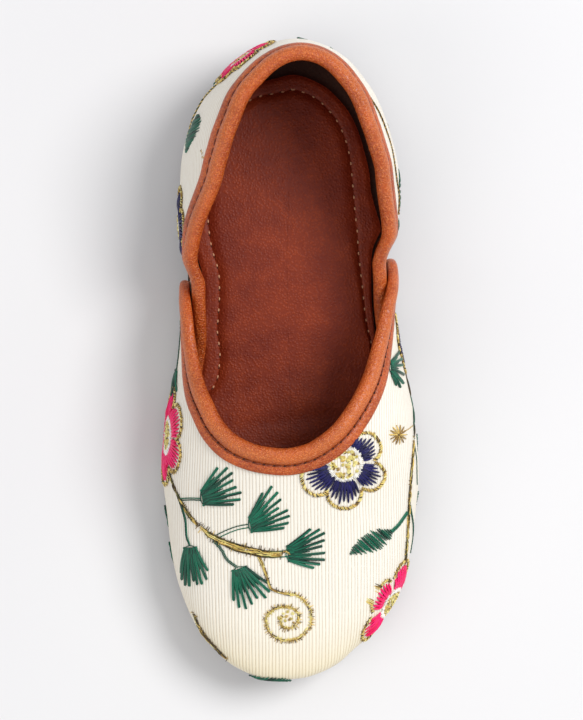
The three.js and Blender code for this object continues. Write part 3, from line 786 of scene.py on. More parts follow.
# The quarter's wall turns yellower low down: painted sheen, as on the vamp.
painted_quarter_sheen = 0.35 * (1 - eased(up_run / 14))
free = eased((to_along(quarter_form[..., 1]) - 0.6) / 0.1)
quarter_outer = inward(quarter_form, quarter_moved - creased(quarter_form) * free)
quarter_inner = inward(quarter_form, quarter_moved + cloth_thickness)
quarter_cloth = dressed("quarter_cloth", quarter_outer, quarter_inner, quarter_weave, painted_quarter_sheen, "quarter")
lined("quarter_lining", quarter_form, "quarter", quarter_moved)
print("quarter", len(quarter_cloth.data.vertices), "points")

# %% [markdown]
# ## Bindings
# A strip of the tan material is folded over the raw edge. It shows as a plump roll on the edge,
# then a groove where it is stitched down, then a thin flat flange. A curve with a bevel object
# could follow the edge, but it wouldn't lie down on the form. So its section is a short loop of
# distance down from the edge and height above the cloth, placed on the form along the edge.

# %% Section of a strip: down from the edge, above the cloth, share of the inner flap (mm)
SECTION = [
    (5.8, 0.1, 0), (5.86, 0.32, 0), (5.75, 0.56, 0), (5.4, 0.68, 0), (4.8, 0.74, 0), (4.1, 0.73, 0),
    (3.65, 0.62, 0), (3.35, 0.42, 0), (3.12, 0.34, 0), (2.9, 0.46, 0), (2.65, 0.78, 0), (2.25, 1.1, 0),
    (1.75, 1.32, 0), (1.15, 1.44, 0), (0.5, 1.44, 0), (-0.1, 1.3, 0), (-0.65, 1.0, 0), (-1.05, 0.5, 0),
    (-1.22, -0.1, 0), (-1.2, -0.7, 0.1), (-0.95, -1.2, 0.4), (-0.5, -1.36, 0.8), (0.1, -1.4, 1.0),
    (0.9, -1.4, 1.0), (1.5, -1.38, 0.6), (1.4, -1.34, 0), (0.5, -1.32, 0), (-0.3, -1.3, 0),
    (-0.3, -0.6, 0), (-0.3, 0.06, 0), (0.6, 0.1, 0), (2.0, 0.1, 0), (3.4, 0.1, 0), (4.6, 0.1, 0),
]
section = np.array(SECTION)
print("section points", len(section))


def respaced(line, step):
    run = np.concatenate([[0], np.cumsum(np.linalg.norm(np.diff(line, axis=0), axis=1))])
    at = np.linspace(0, run[-1], max(int(run[-1] / step), 2) + 1)
    return np.stack([np.interp(at, run, line[:, k]) for k in range(3)], -1), at


def edge_frames(edge, turn):
    after, before = [edge[2:], edge[-1:], edge[-1:]], [edge[:1], edge[:1], edge[:-2]]
    ahead = np.concatenate(after) - np.concatenate(before)
    kernel = np.ones(5) / 5
    for k in range(3):
        ahead[2:-2, k] = np.convolve(ahead[:, k], kernel, "valid")
    normal = unit(steepest(edge))
    return normal, turn * unit(np.cross(normal, ahead))


def strip_place(edge, normal, down, inset_at, d, h):
    flat = np.maximum(d, 0)
    on = settled(edge + down * flat[..., None])
    face = unit(steepest(on))
    outer = on + face * (h - inset_at(on))[..., None]
    over = edge + normal * (h - inset_at(edge))[..., None] + down * np.minimum(d, 0)[..., None]
    return np.where((d > 0)[..., None], outer, over)


strip_step = 0.8
flap_swell, flap_drop = 0.6, 0.8


def strip(name, edge, turn, inset_at, depth, flap, node):
    edge, run = respaced(edge, strip_step)
    normal, down = edge_frames(edge, turn)
    deep = depth(edge)
    loft = flap(run / run[-1])
    full = strip_end + (1 - strip_end) * eased(np.minimum(run, run[-1] - run) / strip_taper)
    rings = []
    for d, h, inner in section:
        squeeze = np.where(d > 0, np.minimum(deep / strip_depth, 1) if h > 0 else 1, full)
        high = h * (full if h > 0.15 else 1) - inner * flap_swell * loft
        low_d = d * squeeze + (flap_drop * loft * inner if h < -1.2 and d > 0 else 0)
        rings.append(strip_place(edge, normal, down, inset_at, low_d + 0 * run, high + 0 * run))
    rings = np.stack(rings, 1)
    count = len(section)
    index = np.arange(len(edge) * count).reshape(len(edge), count)
    beside = np.roll(index, -1, axis=1)
    quads = np.stack([index[:-1], beside[:-1], beside[1:], index[1:]], -1).reshape(-1, 4)
    points = rings.reshape(-1, 3)
    quads = face_out(points, quads)
    flipped = not np.array_equal(quads[0], [index[0, 0], beside[0, 0], beside[1, 0], index[1, 0]])
    first, last = list(index[0]), list(index[-1])
    caps = [first, last[::-1]] if flipped else [first[::-1], last]
    # A painted highlight along the crest of the roll, on the outer face about a millimetre below the edge.
    bloom = np.exp(-(((section[:, 0] - 1.0) / 1.5) ** 2)) * (section[:, 1] > 0)
    made = sewn(name, points, list(quads) + caps, strip_finish, sharp=60, bloom=np.tile(bloom, len(edge)))
    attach(made, "root")
    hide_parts(node)
    return made, edge, normal, down


# %% Vamp binding
def riser(place, top):
    low = foot_at(outline_point(place)[1]) + gap
    return np.stack([side_point(place, low + (top[2] - low) * s) for s in np.linspace(0, 0.95, 12)])


throat_edge = vamp[:, -1]
vamp_edge = np.concatenate([
    riser(foot_of_throat(0.0), throat_edge[0]), throat_edge,
    riser(foot_of_throat(throat_run[-1]), throat_edge[-1])[::-1],
])
vamp_strip, vamp_line, vamp_out, vamp_down = strip(
    "vamp_strip", vamp_edge, -1, lambda p: 0 * p[..., 0], lambda p: strip_depth + 0 * p[..., 0],
    lambda share: eased((share - 0.22) / 0.1) * eased((0.78 - share) / 0.1), "vamp_binding",
)

# %% Quarter binding
quarter_edge = quarter_form[:, -1]
quarter_strip, quarter_line, quarter_out, quarter_down = strip(
    "quarter_strip", quarter_edge, 1, overlap_at,
    lambda p: np.minimum(strip_depth, p[..., 2] - foot_at(p[..., 1]) - strip_stop),
    lambda share: 1 + 0 * share, "quarter_binding",
)
print("bindings", len(vamp_strip.data.vertices), len(quarter_strip.data.vertices), "points")

# %% [markdown]
# ## Insole
# A thin padded board covered in the tan material. A stitch line runs about 4 mm inside its edge;
# inside that line it is padded. A cut disc with a displaced middle could do it, but its faces
# would cross the groove. So the mesh is a set of loops that follow the outline and close on the
# middle line, and the groove and the padding follow the edge everywhere.

# %% Insole
keep_start, keep_shift = 0.432, 0.05
seat_start, seat_shift = 0.68, 0.1
back_start, back_shift = 0.78, 0.17
seam_inset, outer_seam_inset = 4.2, 3.8
# Outer stitch line: along, millimetres from the middle line of the frame
OUTER_SEAM = [
    (0.45, 23.4), (0.527, 20.9), (0.564, 19.5), (0.619, 18.4), (0.672, 17.35), (0.754, 16.2),
    (0.815, 15.2), (0.87, 13.2),
]
(outer_seam,) = columns(OUTER_SEAM)


def inset_of_insole(place):
    x, y = outline_point(place)
    along = to_along(y)
    behind = eased((along - keep_start) / keep_shift)
    beside = np.where(place > 0, seat_gap * eased((along - seat_start) / seat_shift), 0)
    back = eased((np.abs(place) - back_start) / back_shift)
    moved = overlap_at(np.stack([x, y, sole_top(y) + insole_thickness], -1)) * behind
    return tuck + wall + 1.5 * gap + np.maximum(moved, beside + (back_gap - beside) * back)


def seam_from_edge(place):
    x, y = drawn_in(place, inset_of_insole(place))
    along = to_along(y)
    level = np.clip(x - outer_seam(along), 0.9, 6.5)
    free = np.clip(eased((along - 0.8) / 0.07) + eased((0.5 - along) / 0.05), 0, 1)
    outer = level * (1 - free) + outer_seam_inset * free
    return np.where(place > 0, outer, seam_inset - 0.4 * eased((along - 0.85) / 0.1))


LOOP_INSETS = np.array([0, 0.12, 0.4, 0.9, 1.6, 2.4, 3.1, 3.6, 3.95, 4.2, 4.45, 4.8, 5.4, 6.2, 7.2])


def looped(places, insets, fill, inset_at, scale=1.0):
    loops = []
    base = inset_at(places)
    for inset in insets:
        loops.append(np.stack(drawn_in(places, base + inset * scale), -1))
    last = loops[-1]
    middle_y = np.clip(last[:, 1], to_y(0.19), to_y(0.86))
    middle = np.stack([middle_at(stretch(to_along(middle_y))) * width / 2, middle_y], -1)
    for i in range(1, fill + 1):
        loops.append(last + (middle - last) * (i / fill) * 0.999)
    return np.stack(loops, 1)


# Folds of the insole: x, y, turn in degrees, half length, half width, height in mm
INSOLE_FOLDS = [
    (-2, -16, 8, 15, 1.6, -0.35), (4, -23, -12, 14, 1.5, -0.3), (-6, -30, 10, 13, 1.6, 0.3),
    (10, -12, -20, 10, 1.4, 0.25), (-12, -8, 24, 9, 1.5, -0.25),
]


# The inset is counted so that the seam is at seam_inset, wherever it runs
def insole_top(x, y, inset):
    pad = 0.65 * eased((inset - 4.4) / 2.2) + 0.5 * eased(inset / 1.0) - 0.5
    groove = -0.35 * np.exp(-(((inset - seam_inset) / 0.32) ** 2))
    return sole_top(y) + gap + insole_thickness + pad + groove + dents(INSOLE_FOLDS, x, y)


def ring_faces(around, across):
    index = np.arange(around * across).reshape(around, across)
    after = np.roll(index, -1, axis=0)
    quads = np.stack([index[:, :-1], index[:, 1:], after[:, 1:], after[:, :-1]], -1).reshape(-1, 4)
    return index, after, quads


def plate(name, plan, top, bottom, material, **values):
    index, after, quads = ring_faces(*plan.shape[:2])
    count = index.size
    side = np.stack([after[:, 0], index[:, 0], index[:, 0] + count, after[:, 0] + count], -1)
    faces = np.concatenate([quads[:, ::-1], quads + count, side[:, ::-1]])
    flat = plan.reshape(-1, 2)
    points = np.concatenate([np.c_[flat, top.ravel()], np.c_[flat, bottom.ravel()]])
    made = sewn(name, points, face_out(points, faces), material, sharp=50, **values)
    work = bmesh.new()
    work.from_mesh(made.data)
    bmesh.ops.remove_doubles(work, verts=work.verts, dist=0.00006)
    work.to_mesh(made.data)
    work.free()
    return made


PLACES = -1 + 2 * (np.arange(300) + 0.5) / 300
insole_plan = looped(PLACES, LOOP_INSETS, 12, inset_of_insole, scale=seam_from_edge(PLACES) / seam_inset)
inset_values = np.concatenate([LOOP_INSETS, np.linspace(8, 20, 12)])[None, :] + 0 * insole_plan[..., 0]
top = insole_top(insole_plan[..., 0], insole_plan[..., 1], inset_values)
bottom = sole_top(insole_plan[..., 1]) + gap
insole = plate("padded_insole", insole_plan, top, bottom, insole_finish, bloom=np.zeros(2 * top.size))
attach(insole, "root")
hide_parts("insole")
print("insole", len(insole.data.vertices), "points")

# %% [markdown]
# ## Outsole
# One moulded piece: thin under the forefoot, a low heel, a little spring at the toe. Its edge is
# rounded, with a fine line round it, and its underside has two shallow fields. A bevelled slab
# could be bent, but loops of the outline, each with its own height, give the edge line as well.

# %% Outsole: the edge as inset, distance from the face in mm, and 1 where that is the lower face
RIM = [
    (0.35, 0, 0), (0.08, 0.25, 0), (0, 0.7, 0), (0.12, 1.5, 0), (0.0, 1.9, 0), (0.1, 0.7, 1),
    (0.4, 0.25, 1), (0.9, 0, 1),
]
rim_step, field_depth = 0.6, 0.5


def outsole():
    loops, heights = [], []
    for inset, drop, low in RIM:
        loops.append(np.stack(drawn_in(PLACES, sole_inset + 0 * PLACES + inset + rim_step * low), -1))
        y_here = loops[-1][:, 1]
        heights.append(sole_bottom(y_here) + drop if low else sole_top(y_here) - drop)
    inner = looped(PLACES, np.array([1.6, 3.0, 3.3, 6.0]), 10, lambda p: sole_inset + rim_step + 0 * p)
    recess = np.where(np.arange(inner.shape[1]) < 2, 0, field_depth)
    for k in range(inner.shape[1]):
        loops.append(inner[:, k])
        field = 1 - np.exp(-(((inner[:, k, 1] - heel_front) / 3.2) ** 4))
        heights.append(sole_bottom(inner[:, k, 1]) + recess[k] * field)
    roof = looped(PLACES, np.array([1.0, 4.0]), 6, lambda p: sole_inset + 0 * p)
    for k in range(roof.shape[1]):
        loops.insert(0, roof[:, k])
        heights.insert(0, sole_top(roof[:, k, 1]))
    plan, z = np.stack(loops, 1), np.stack(heights, 1)
    return np.concatenate([plan, z[..., None]], -1)


sole_loops = outsole()
_, _, quads = ring_faces(*sole_loops.shape[:2])
points = sole_loops.reshape(-1, 3)
faces = face_out(points, quads)
outsole_piece = sewn("moulded_outsole", points, faces, sole_finish, sharp=35, bloom=np.zeros(len(points)))
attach(outsole_piece, "root")
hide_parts("outsole")
print("outsole lowest", round(float(points[:, 2].min()), 3), "mm")

# %% [markdown]
# ## Laying thread on the cloth
# Embroidery is thread with thickness. It could be drawn flat and shrink-wrapped, but then nothing
# says which way is out. Motifs on top are drawn in the frame's own pixels, because that is where
# they can be measured, and each point is dropped along the camera's ray onto the form. Motifs on
# the steep sides are drawn in millimetres on a patch of the wall instead. Either way a point ends
# on the cloth, creases included, with the direction that is out there.

# %% From pixels and from patches to the cloth
# The camera in millimetres, a pixel's width at LEVEL, and the pixel over the frame's origin
LENS = np.array([-37.0, 0.5, 800.0])
LEVEL = 12
PIXEL = 0.257
PX = 1 / PIXEL
ORIGIN_PX = (436, 362)
DROPS = np.linspace(52, 4, 97)


def seen(pixels):
    pixels = np.atleast_2d(np.asarray(pixels, float))
    x, y = (pixels[:, 0] - ORIGIN_PX[0]) * PIXEL, (ORIGIN_PX[1] - pixels[:, 1]) * PIXEL
    level = np.stack([x, y, 0 * x + LEVEL], -1)

    def ray(z):
        return LENS + (level - LENS)[:, None, :] * ((LENS[2] - z) / (LENS[2] - LEVEL))[..., None]

    deep = outside(ray(np.broadcast_to(DROPS, (len(pixels), len(DROPS)))))
    hit = (deep[:, 1:] < 0) & (deep[:, :-1] >= 0)
    first = np.where(hit.any(1), hit.argmax(1), np.abs(deep).argmin(1).clip(0, len(DROPS) - 2))
    high, low = DROPS[first], DROPS[first + 1]
    for _ in range(10):
        middle = (high + low) / 2
        out = outside(ray(middle[:, None]))[:, 0] >= 0
        high, low = np.where(out, middle, high), np.where(out, low, middle)
    return settled(ray(((high + low) / 2)[:, None])[:, 0])


def on_vamp(pixels):
    point = seen(pixels)
    normal = unit(steepest(point))
    return point + normal * creased(point)[:, None], normal


def on_quarter(pixels):
    point = seen(pixels)
    normal = unit(steepest(point))
    return point - normal * overlap_at(point)[:, None], normal


def patch(place, z, quarter=False):
    centre = side_point(place, z)
    ahead = side_point(place + 0.002, z) - side_point(place - 0.002, z)
    out = unit(steepest(centre))
    along = unit(ahead - out * (ahead * out).sum())
    up = np.cross(along, out) if np.cross(along, out)[2] > 0 else np.cross(out, along)

    def lay(spots):
        spots = np.atleast_2d(np.asarray(spots, float))
        point = settled(centre + spots[:, :1] * along + spots[:, 1:] * up)
        normal = unit(steepest(point))
        shift = -overlap_at(point) if quarter else creased(point)
        return point + normal * shift[:, None], normal

    return lay


flange_shown, roll_shown = 4.9, 1.2


def below_edge(point, line, down):
    near = np.linalg.norm(point[:, None, :] - line[None], axis=-1).argmin(1)
    return ((point - line[near]) * down[near]).sum(-1)


def shown_on_vamp(point):
    return below_edge(point, vamp_line, vamp_down) > flange_shown


def shown_on_quarter(point):
    hidden = (below_edge(point, vamp_line, vamp_down) > -roll_shown) & (to_along(point[:, 1]) < 0.72)
    return (below_edge(point, quarter_line, quarter_down) > flange_shown) & ~hidden


print("a pixel in the middle of the vamp lies at", np.round(seen([(430, 560)])[0], 1), "mm")

# %% [markdown]
# ## The thread tree
# Every stitch is an edge line with a thickness at each point. Hair curves could show it, but the
# export needs meshes. So one Geometry Nodes tree turns the lines into thread: the line becomes a
# curve, a small circle follows it, scaled by the line's own thickness, and the finish is set.
# Width and sides are named inputs.

# %% Thread tree
def geometry_tree(name, inputs):
    tree = bpy.data.node_groups.new(name, "GeometryNodeTree")
    tree.interface.new_socket("Geometry", in_out="OUTPUT", socket_type="NodeSocketGeometry")
    tree.interface.new_socket("Geometry", in_out="INPUT", socket_type="NodeSocketGeometry")
    for key, kind, value in inputs:
        made = tree.interface.new_socket(key, in_out="INPUT", socket_type=kind)
        if value is not None:
            made.default_value = value
    return tree, tree.nodes.new("NodeGroupInput").outputs, tree.nodes.new("NodeGroupOutput")


def thread_tree():
    inputs = [
        ("Width", "NodeSocketFloat", 1.0), ("Sides", "NodeSocketInt", 5),
        ("Finish", "NodeSocketMaterial", None),
    ]
    tree, given, out = geometry_tree("thread", inputs)
    line = add(tree, "GeometryNodeMeshToCurve", {"Mesh": given["Geometry"]}).outputs[0]
    thick = add(tree, "GeometryNodeInputNamedAttribute", {"Name": "thick"}, data_type="FLOAT").outputs[0]
    scale = math_of(tree, "MULTIPLY", thick, given["Width"])
    circle = {"Resolution": given["Sides"], "Radius": MM}
    ring = add(tree, "GeometryNodeCurvePrimitiveCircle", circle).outputs[0]
    sockets = {"Curve": line, "Profile Curve": ring, "Scale": scale, "Fill Caps": True}
    tube = add(tree, "GeometryNodeCurveToMesh", sockets).outputs[0]
    tube = add(tree, "GeometryNodeSetShadeSmooth", {0: tube}).outputs[0]
    tube = add(tree, "GeometryNodeRealizeInstances", {0: tube}).outputs[0]
    done = add(tree, "GeometryNodeSetMaterial", {"Geometry": tube, "Material": given["Finish"]}).outputs[0]
    tree.links.new(done, out.inputs[0])
    return tree


THREAD = thread_tree()


def grown(name, mesh, tree, **inputs):
    raw = bpy.data.objects.new(name + "_lines", mesh)
    scene.collection.objects.link(raw)
    modifier = raw.modifiers.new("grow", "NODES")
    modifier.node_group = tree
    sockets = {s.name: s.identifier for s in tree.interface.items_tree if s.in_out == "INPUT"}
    for key, value in inputs.items():
        modifier[sockets[key]] = value
    bpy.context.view_layer.update()
    ready = raw.evaluated_get(bpy.context.evaluated_depsgraph_get())
    result = bpy.data.meshes.new_from_object(ready)
    result.name = name
    bpy.data.objects.remove(raw)
    made = bpy.data.objects.new(name, result)
    scene.collection.objects.link(made)
    return made


def line_mesh(name, lines, thicks, shades):
    sizes = [len(line) for line in lines]
    starts = np.concatenate([[0], np.cumsum(sizes)])[:-1]
    runs = [np.stack([np.arange(n - 1), np.arange(1, n)], -1) + s for n, s in zip(sizes, starts)]
    edges = np.concatenate(runs)
    mesh = bpy.data.meshes.new(name)
    mesh.from_pydata((np.concatenate(lines) * MM).tolist(), edges.tolist(), [])
    shade = np.repeat(shades, sizes).astype(np.float32)
    thick = np.concatenate(thicks).astype(np.float32)
    mesh.attributes.new("thick", "FLOAT", "POINT").data.foreach_set("value", thick)
    mesh.attributes.new("shade", "FLOAT", "POINT").data.foreach_set("value", shade)
    return mesh


print("thread tree:", len(THREAD.nodes), "nodes")

# %% [markdown]
# Stitches are collected by colour first and grown all at once, a piece per colour, because a
# piece per stitch would be thousands. A satin stitch is a straight line on the cloth that arches
# a little in the middle. A cord is a long line, or two lines twisted about each other. A thick
# stem is a bundle of short strands, and ticks are the loose ends that stand out beside it.

# %% Stitches and cords
rng = np.random.default_rng(7)
work = {}


def keep(colour, lines, thicks):
    lot = work.setdefault(colour, ([], [], []))
    for line, thick in zip(lines, thicks):
        lot[0].append(line)
        lot[1].append(thick)
        lot[2].append(rng.random())


def satin(colour, lay, shown, starts, ends, thick=0.2, arch=0.22, base=0.1, count=5, tip=0.55):
    starts, ends = np.asarray(starts, float), np.asarray(ends, float)
    t = np.linspace(0, 1, count)
    flat = starts[:, None] * (1 - t)[None, :, None] + ends[:, None] * t[None, :, None]
    point, normal = lay(flat.reshape(-1, 2))
    good = shown(point).reshape(-1, count).all(1)
    uneven = np.repeat(rng.uniform(-0.03, 0.05, len(starts)), count)
    lift = np.tile(base + arch * np.sin(np.pi * t), len(starts)) + uneven
    lines = (point + normal * lift[:, None]).reshape(-1, count, 3)[good]
    width = thick * (tip + (1 - tip) * np.sin(np.pi * t) ** 0.5)
    keep(colour, lines, [width * rng.uniform(0.85, 1.12) for _ in lines])


def curve(points, step):
    points = np.asarray(points, float)
    run = np.concatenate([[0], np.cumsum(np.linalg.norm(np.diff(points, axis=0), axis=1))])
    at = np.linspace(0, run[-1], max(int(run[-1] / step), 2) + 1)
    return np.stack([through(run, points[:, k])(at) for k in range(2)], -1)


def frames_on(lay, path):
    point, normal = lay(path)
    ahead = np.gradient(point, axis=0)
    return point, normal, unit(np.cross(normal, unit(ahead)))


def runs_of(good):
    marks = np.flatnonzero(np.diff(np.concatenate([[0], good.astype(int), [0]])))
    return [(a, b) for a, b in zip(marks[::2], marks[1::2]) if b - a > 2]


def cord(colours, lay, shown, path, pitch=1.5, thick=0.16, spread_by=0.14, base=0.2, px=1.0, shift=0.0):
    path = curve(path, 0.28 * px)
    point, normal, beside = frames_on(lay, path)
    run = np.concatenate([[0], np.cumsum(np.linalg.norm(np.diff(point, axis=0), axis=1))])
    good = shown(point)
    for k, colour in enumerate(colours):
        turn = run / pitch * 2 * np.pi + 2 * np.pi * k / len(colours)
        line = point + beside * (spread_by * np.cos(turn) + shift)[:, None]
        line = line + normal * (base + spread_by * np.sin(turn))[:, None]
        for a, b in runs_of(good):
            keep(colour, [line[a:b]], [thick * (1 + 0.12 * np.sin(turn[a:b] * 1.7 + k))])


def straight(colour, starts, ends, normal, thick, arch, base, count=4, tip=0.55):
    t = np.linspace(0, 1, count)[None, :, None]
    lift = base + arch * np.sin(np.pi * t)
    lines = starts[:, None] * (1 - t) + ends[:, None] * t + normal[:, None] * lift
    width = thick * (tip + (1 - tip) * np.sin(np.pi * t[0, :, 0]) ** 0.5)
    keep(colour, lines, [width * rng.uniform(0.85, 1.12) for _ in lines])


def ticks(colour, lay, shown, path, every, reach, px=1.0, side=0, thick=0.1):
    point, normal, beside = frames_on(lay, curve(path, every * px))
    good = shown(point)
    point, normal, beside = point[good], normal[good], beside[good]
    ahead = np.cross(beside, normal)
    count = len(point)
    way = rng.choice([-1, 1], (count, 1)) if side == 0 else side
    out = rng.uniform(0.6, 1.2, (count, 1)) * reach * way
    far = out * beside + rng.uniform(-0.35, 0.35, (count, 1)) * ahead
    straight(colour, point - beside * way * 0.25, point + far, normal, thick=thick, arch=0.12, base=0.14)


def couched(colours, lay, shown, path, half, px=1.0, every=0.3, slant=0.8, thick=0.13):
    path = curve(path, every * px)
    ahead = np.gradient(path, axis=0)
    ahead = ahead / np.linalg.norm(ahead, axis=1, keepdims=True)
    beside = np.stack([-ahead[:, 1], ahead[:, 0]], -1)
    reach = half * px * rng.uniform(0.65, 1.25, (2, len(path), 1))
    lean = slant * half * px * rng.uniform(0.6, 1.3, (len(path), 1))
    start = path - beside * reach[0] - ahead * lean
    end = path + beside * reach[1] + ahead * lean
    pick = rng.integers(len(colours), size=len(path))
    for k, colour in enumerate(colours):
        here = pick == k
        satin(colour, lay, shown, start[here], end[here], thick=thick, arch=0.2, base=0.26, count=4, tip=0.7)


strand_step = 0.35


def strands(bands, lay, shown, path, half, px=1.0, long=5.0, thick=0.1):
    point, normal, beside = frames_on(lay, curve(path, strand_step * px))
    good = shown(point)
    wide = np.interp(np.linspace(0, 1, len(point)), np.linspace(0, 1, len(half)), half)
    steps = min(int(long / strand_step), len(point))
    swell = np.sin(np.pi * np.linspace(0.04, 0.96, steps)) ** 0.4
    for colour, low, high, many in bands:
        first = rng.integers(0, len(point) - steps + 1, many)
        index = first[:, None] + np.arange(steps)
        index = index[good[index].all(1)]
        near, far = rng.uniform(low, high, (2, len(index), 1)) * rng.choice([-1, 1], (len(index), 1))
        offset = (near + (far - near) * np.linspace(0, 1, steps)) * wide[index]
        lift = rng.uniform(0.1, 0.4, (len(index), 1)) * swell
        lines = point[index] + beside[index] * offset[..., None] + normal[index] * lift[..., None]
        keep(colour, lines, [thick * swell * rng.uniform(0.8, 1.2) for _ in lines])


knot_points, knot_turns = 13, 1.65


def knots(colour, lay, shown, centres, size=0.42, thick=0.2):
    point, normal = lay(np.asarray(centres, float))
    good = shown(point)
    for p, n in zip(point[good], normal[good]):
        a = unit(np.cross(n, [0.3, 0.9, 0.2]))
        b = np.cross(n, a)
        turn = np.linspace(0, knot_turns * 2 * np.pi, knot_points) + rng.uniform(0, 6.28)
        radius = size * rng.uniform(0.75, 1.15) * np.linspace(1, 0.25, knot_points)
        ring = p + (np.cos(turn) * radius)[:, None] * a + (np.sin(turn) * radius)[:, None] * b
        lift = np.linspace(0.12, 0.42, knot_points)[:, None]
        keep(colour, [ring + n * lift], [np.full(knot_points, thick)])


print("ready to stitch")

# %% [markdown]
# ## Motifs
# The pattern is a common kind of folk floral: fans of long stitches on thin stalks, flowers of
# satin rays round a knotted middle with a couched gold edge, leaves of slanted satin, and
# tendrils of gold strands. Each could be drawn stitch by stitch, but as one function with its
# own small chances, no two are alike and each flower is one line.

# %% Fan, leaf and flower
def fan_motif(lay, shown, base, tips, px=1.0):
    base, tips = np.asarray(base, float), np.asarray(tips, float)
    count = len(tips)
    roots = base[0] + (base[1] - base[0]) * np.linspace(0.04, 0.96, count)[:, None]
    run = tips - roots
    ahead = run / np.linalg.norm(run, axis=1, keepdims=True)
    beside = np.stack([-ahead[:, 1], ahead[:, 0]], -1)
    for shift in (-1, 0, 1):
        near = roots + beside * shift * 0.12 * px
        cut = rng.uniform(0.0, 0.25, (count, 1)) * (1 if shift else 0)
        far = tips + beside * shift * 0.2 * px - ahead * cut * px
        satin("green", lay, shown, near, far, thick=0.2, arch=0.3, base=0.14, count=6, tip=0.85)
    between_roots = (roots[1:] + roots[:-1]) / 2
    between_tips = (tips[1:] + tips[:-1]) / 2
    for reach, shift in ((0.5, 0.3), (0.62, -0.3)):
        far = between_roots + (between_tips - between_roots) * reach
        satin(
            "green", lay, shown, between_roots + shift * px * 0.3, far, thick=0.22, arch=0.22, base=0.08,
            count=5,
        )
    across = np.linspace(0.02, 0.98, 2 * count)
    line = base[0] + (base[1] - base[0]) * across[:, None]
    middle = tips.mean(0)
    satin("green", lay, shown, line, line + (middle - line) * 0.3, thick=0.24, arch=0.2, base=0.05, count=5)
    knots("green", lay, shown, [base[0], base[1]], size=0.26, thick=0.16)
    inward_by = (base.mean(0) - middle) / np.linalg.norm(base.mean(0) - middle) * 0.55 * px
    rim = [base[0], base.mean(0) + inward_by, base[1]]
    cord(["green"], lay, shown, rim, thick=0.14, spread_by=0.0, base=0.22, px=px)


def leaf_motif(lay, shown, tip, root, half, px=1.0, slant=0.55, fill=0.42):
    tip, root = np.asarray(tip, float), np.asarray(root, float)
    run = tip - root
    size = np.linalg.norm(run)
    beside = np.array([-run[1], run[0]]) / size
    ahead = run / size
    share = np.linspace(0.02, 0.98, int(size / (fill * px)))
    wide = half * np.sin(np.pi * share ** 0.85) ** 0.75
    middle = root + run * share[:, None]
    ragged = rng.uniform(0.68, 1.2, (2, len(share)))
    left = middle + beside * (wide * ragged[0])[:, None] + ahead * (slant * wide)[:, None]
    right = middle - beside * (wide * ragged[1])[:, None] - ahead * (slant * wide)[:, None]
    satin("green", lay, shown, left, right, thick=0.21, arch=0.3, base=0.14, count=6, tip=0.6)


def flower_motif(lay, shown, centre, petals, inner, disc, colour, px=1.0, rays=9):
    centre = np.asarray(centre, float)

    def at(turn, radius):
        return centre + np.stack([np.cos(turn) * radius, np.sin(turn) * radius], -1)

    for direction, half, tip in petals:
        direction, half = math.radians(direction), math.radians(half)
        share = np.linspace(-1, 1, rays)
        far = tip * (1 - 0.2 * np.abs(share) ** 2.2) * rng.uniform(0.95, 1.04, rays)
        for shift in (-0.22, 0.02, 0.24):
            part = share + shift / rays * 2
            start = at(direction + part * half * 0.93, inner * rng.uniform(0.95, 1.1, rays))
            end = at(direction + (share + shift * 0.55 / rays * 2) * half * 0.88, far - abs(shift) * 1.2 * px)
            satin(colour, lay, shown, start, end, thick=0.2, arch=0.36, base=0.12, count=6)
        part = np.linspace(-0.95, 0.95, 2 * rays)
        start = at(direction + part * half * 0.9, inner * rng.uniform(0.92, 1.02, 2 * rays))
        end = at(direction + part * half * 0.9, inner + (tip - inner) * rng.uniform(0.42, 0.6, 2 * rays))
        satin(colour, lay, shown, start, end, thick=0.2, arch=0.26, base=0.06, count=5)
        part = np.linspace(-1.06, 1.06, 15)
        bow = (tip + 1.15 * px) * (1 - 0.24 * np.abs(part) ** 2.6)
        outline = at(direction + part * half, bow)
        cord(["gold", "umber"], lay, shown, outline, pitch=1.1, thick=0.15, spread_by=0.15, base=0.2, px=px)
        couched(["gold", "gold", "umber", "yellow"], lay, shown, outline, half=0.38, px=px, every=0.26)
        ticks("gold", lay, shown, outline, every=0.7, reach=0.7, px=px, side=0, thick=0.11)
        ticks("umber", lay, shown, outline, every=1.1, reach=0.6, px=px, side=0, thick=0.1)
    turn = np.linspace(0, 2 * np.pi, int(2 * np.pi * inner / (0.42 * px)), endpoint=False)
    start = at(turn, disc * rng.uniform(0.9, 1.0, len(turn)))
    end = at(turn, inner * rng.uniform(0.84, 1.06, len(turn)))
    satin("white", lay, shown, start, end, thick=0.19, arch=0.16, base=0.1, count=4)
    spots = []
    while len(spots) < 4.6 * (disc / px) ** 2:
        radius, angle = disc * 0.98 * math.sqrt(rng.random()), rng.uniform(0, 2 * np.pi)
        spots.append((centre[0] + radius * math.cos(angle), centre[1] + radius * math.sin(angle)))
    spots = np.array(spots)
    knots("yellow", lay, shown, spots[: len(spots) * 3 // 4], size=0.46, thick=0.13)
    knots("gold", lay, shown, spots[len(spots) * 3 // 4:], size=0.42, thick=0.12)
    knots("umber", lay, shown, spots[::6] + 0.3 * px, size=0.24, thick=0.1)


def stalk(lay, shown, path, px=1.0, apart=0.5, thick=0.15):
    for side in (-0.5, 0.5):
        cord(
            ["green"], lay, shown, path, pitch=1.2, thick=thick, spread_by=0.02, base=0.16, px=px,
            shift=side * apart,
        )


# %% [markdown]
# ## The top of the vamp
# Coordinates here are pixels of the 583 by 720 frame that the photograph fills, read from enlarged crops: the
# gold stem that swings in from the inner side with its five fans, the tendril that ends in a spiral, the
# leaf, a flower, the vine along the outer edge and a fan by the wing.
# They could be painted on the cloth, but raised thread catches the light as the real one does.

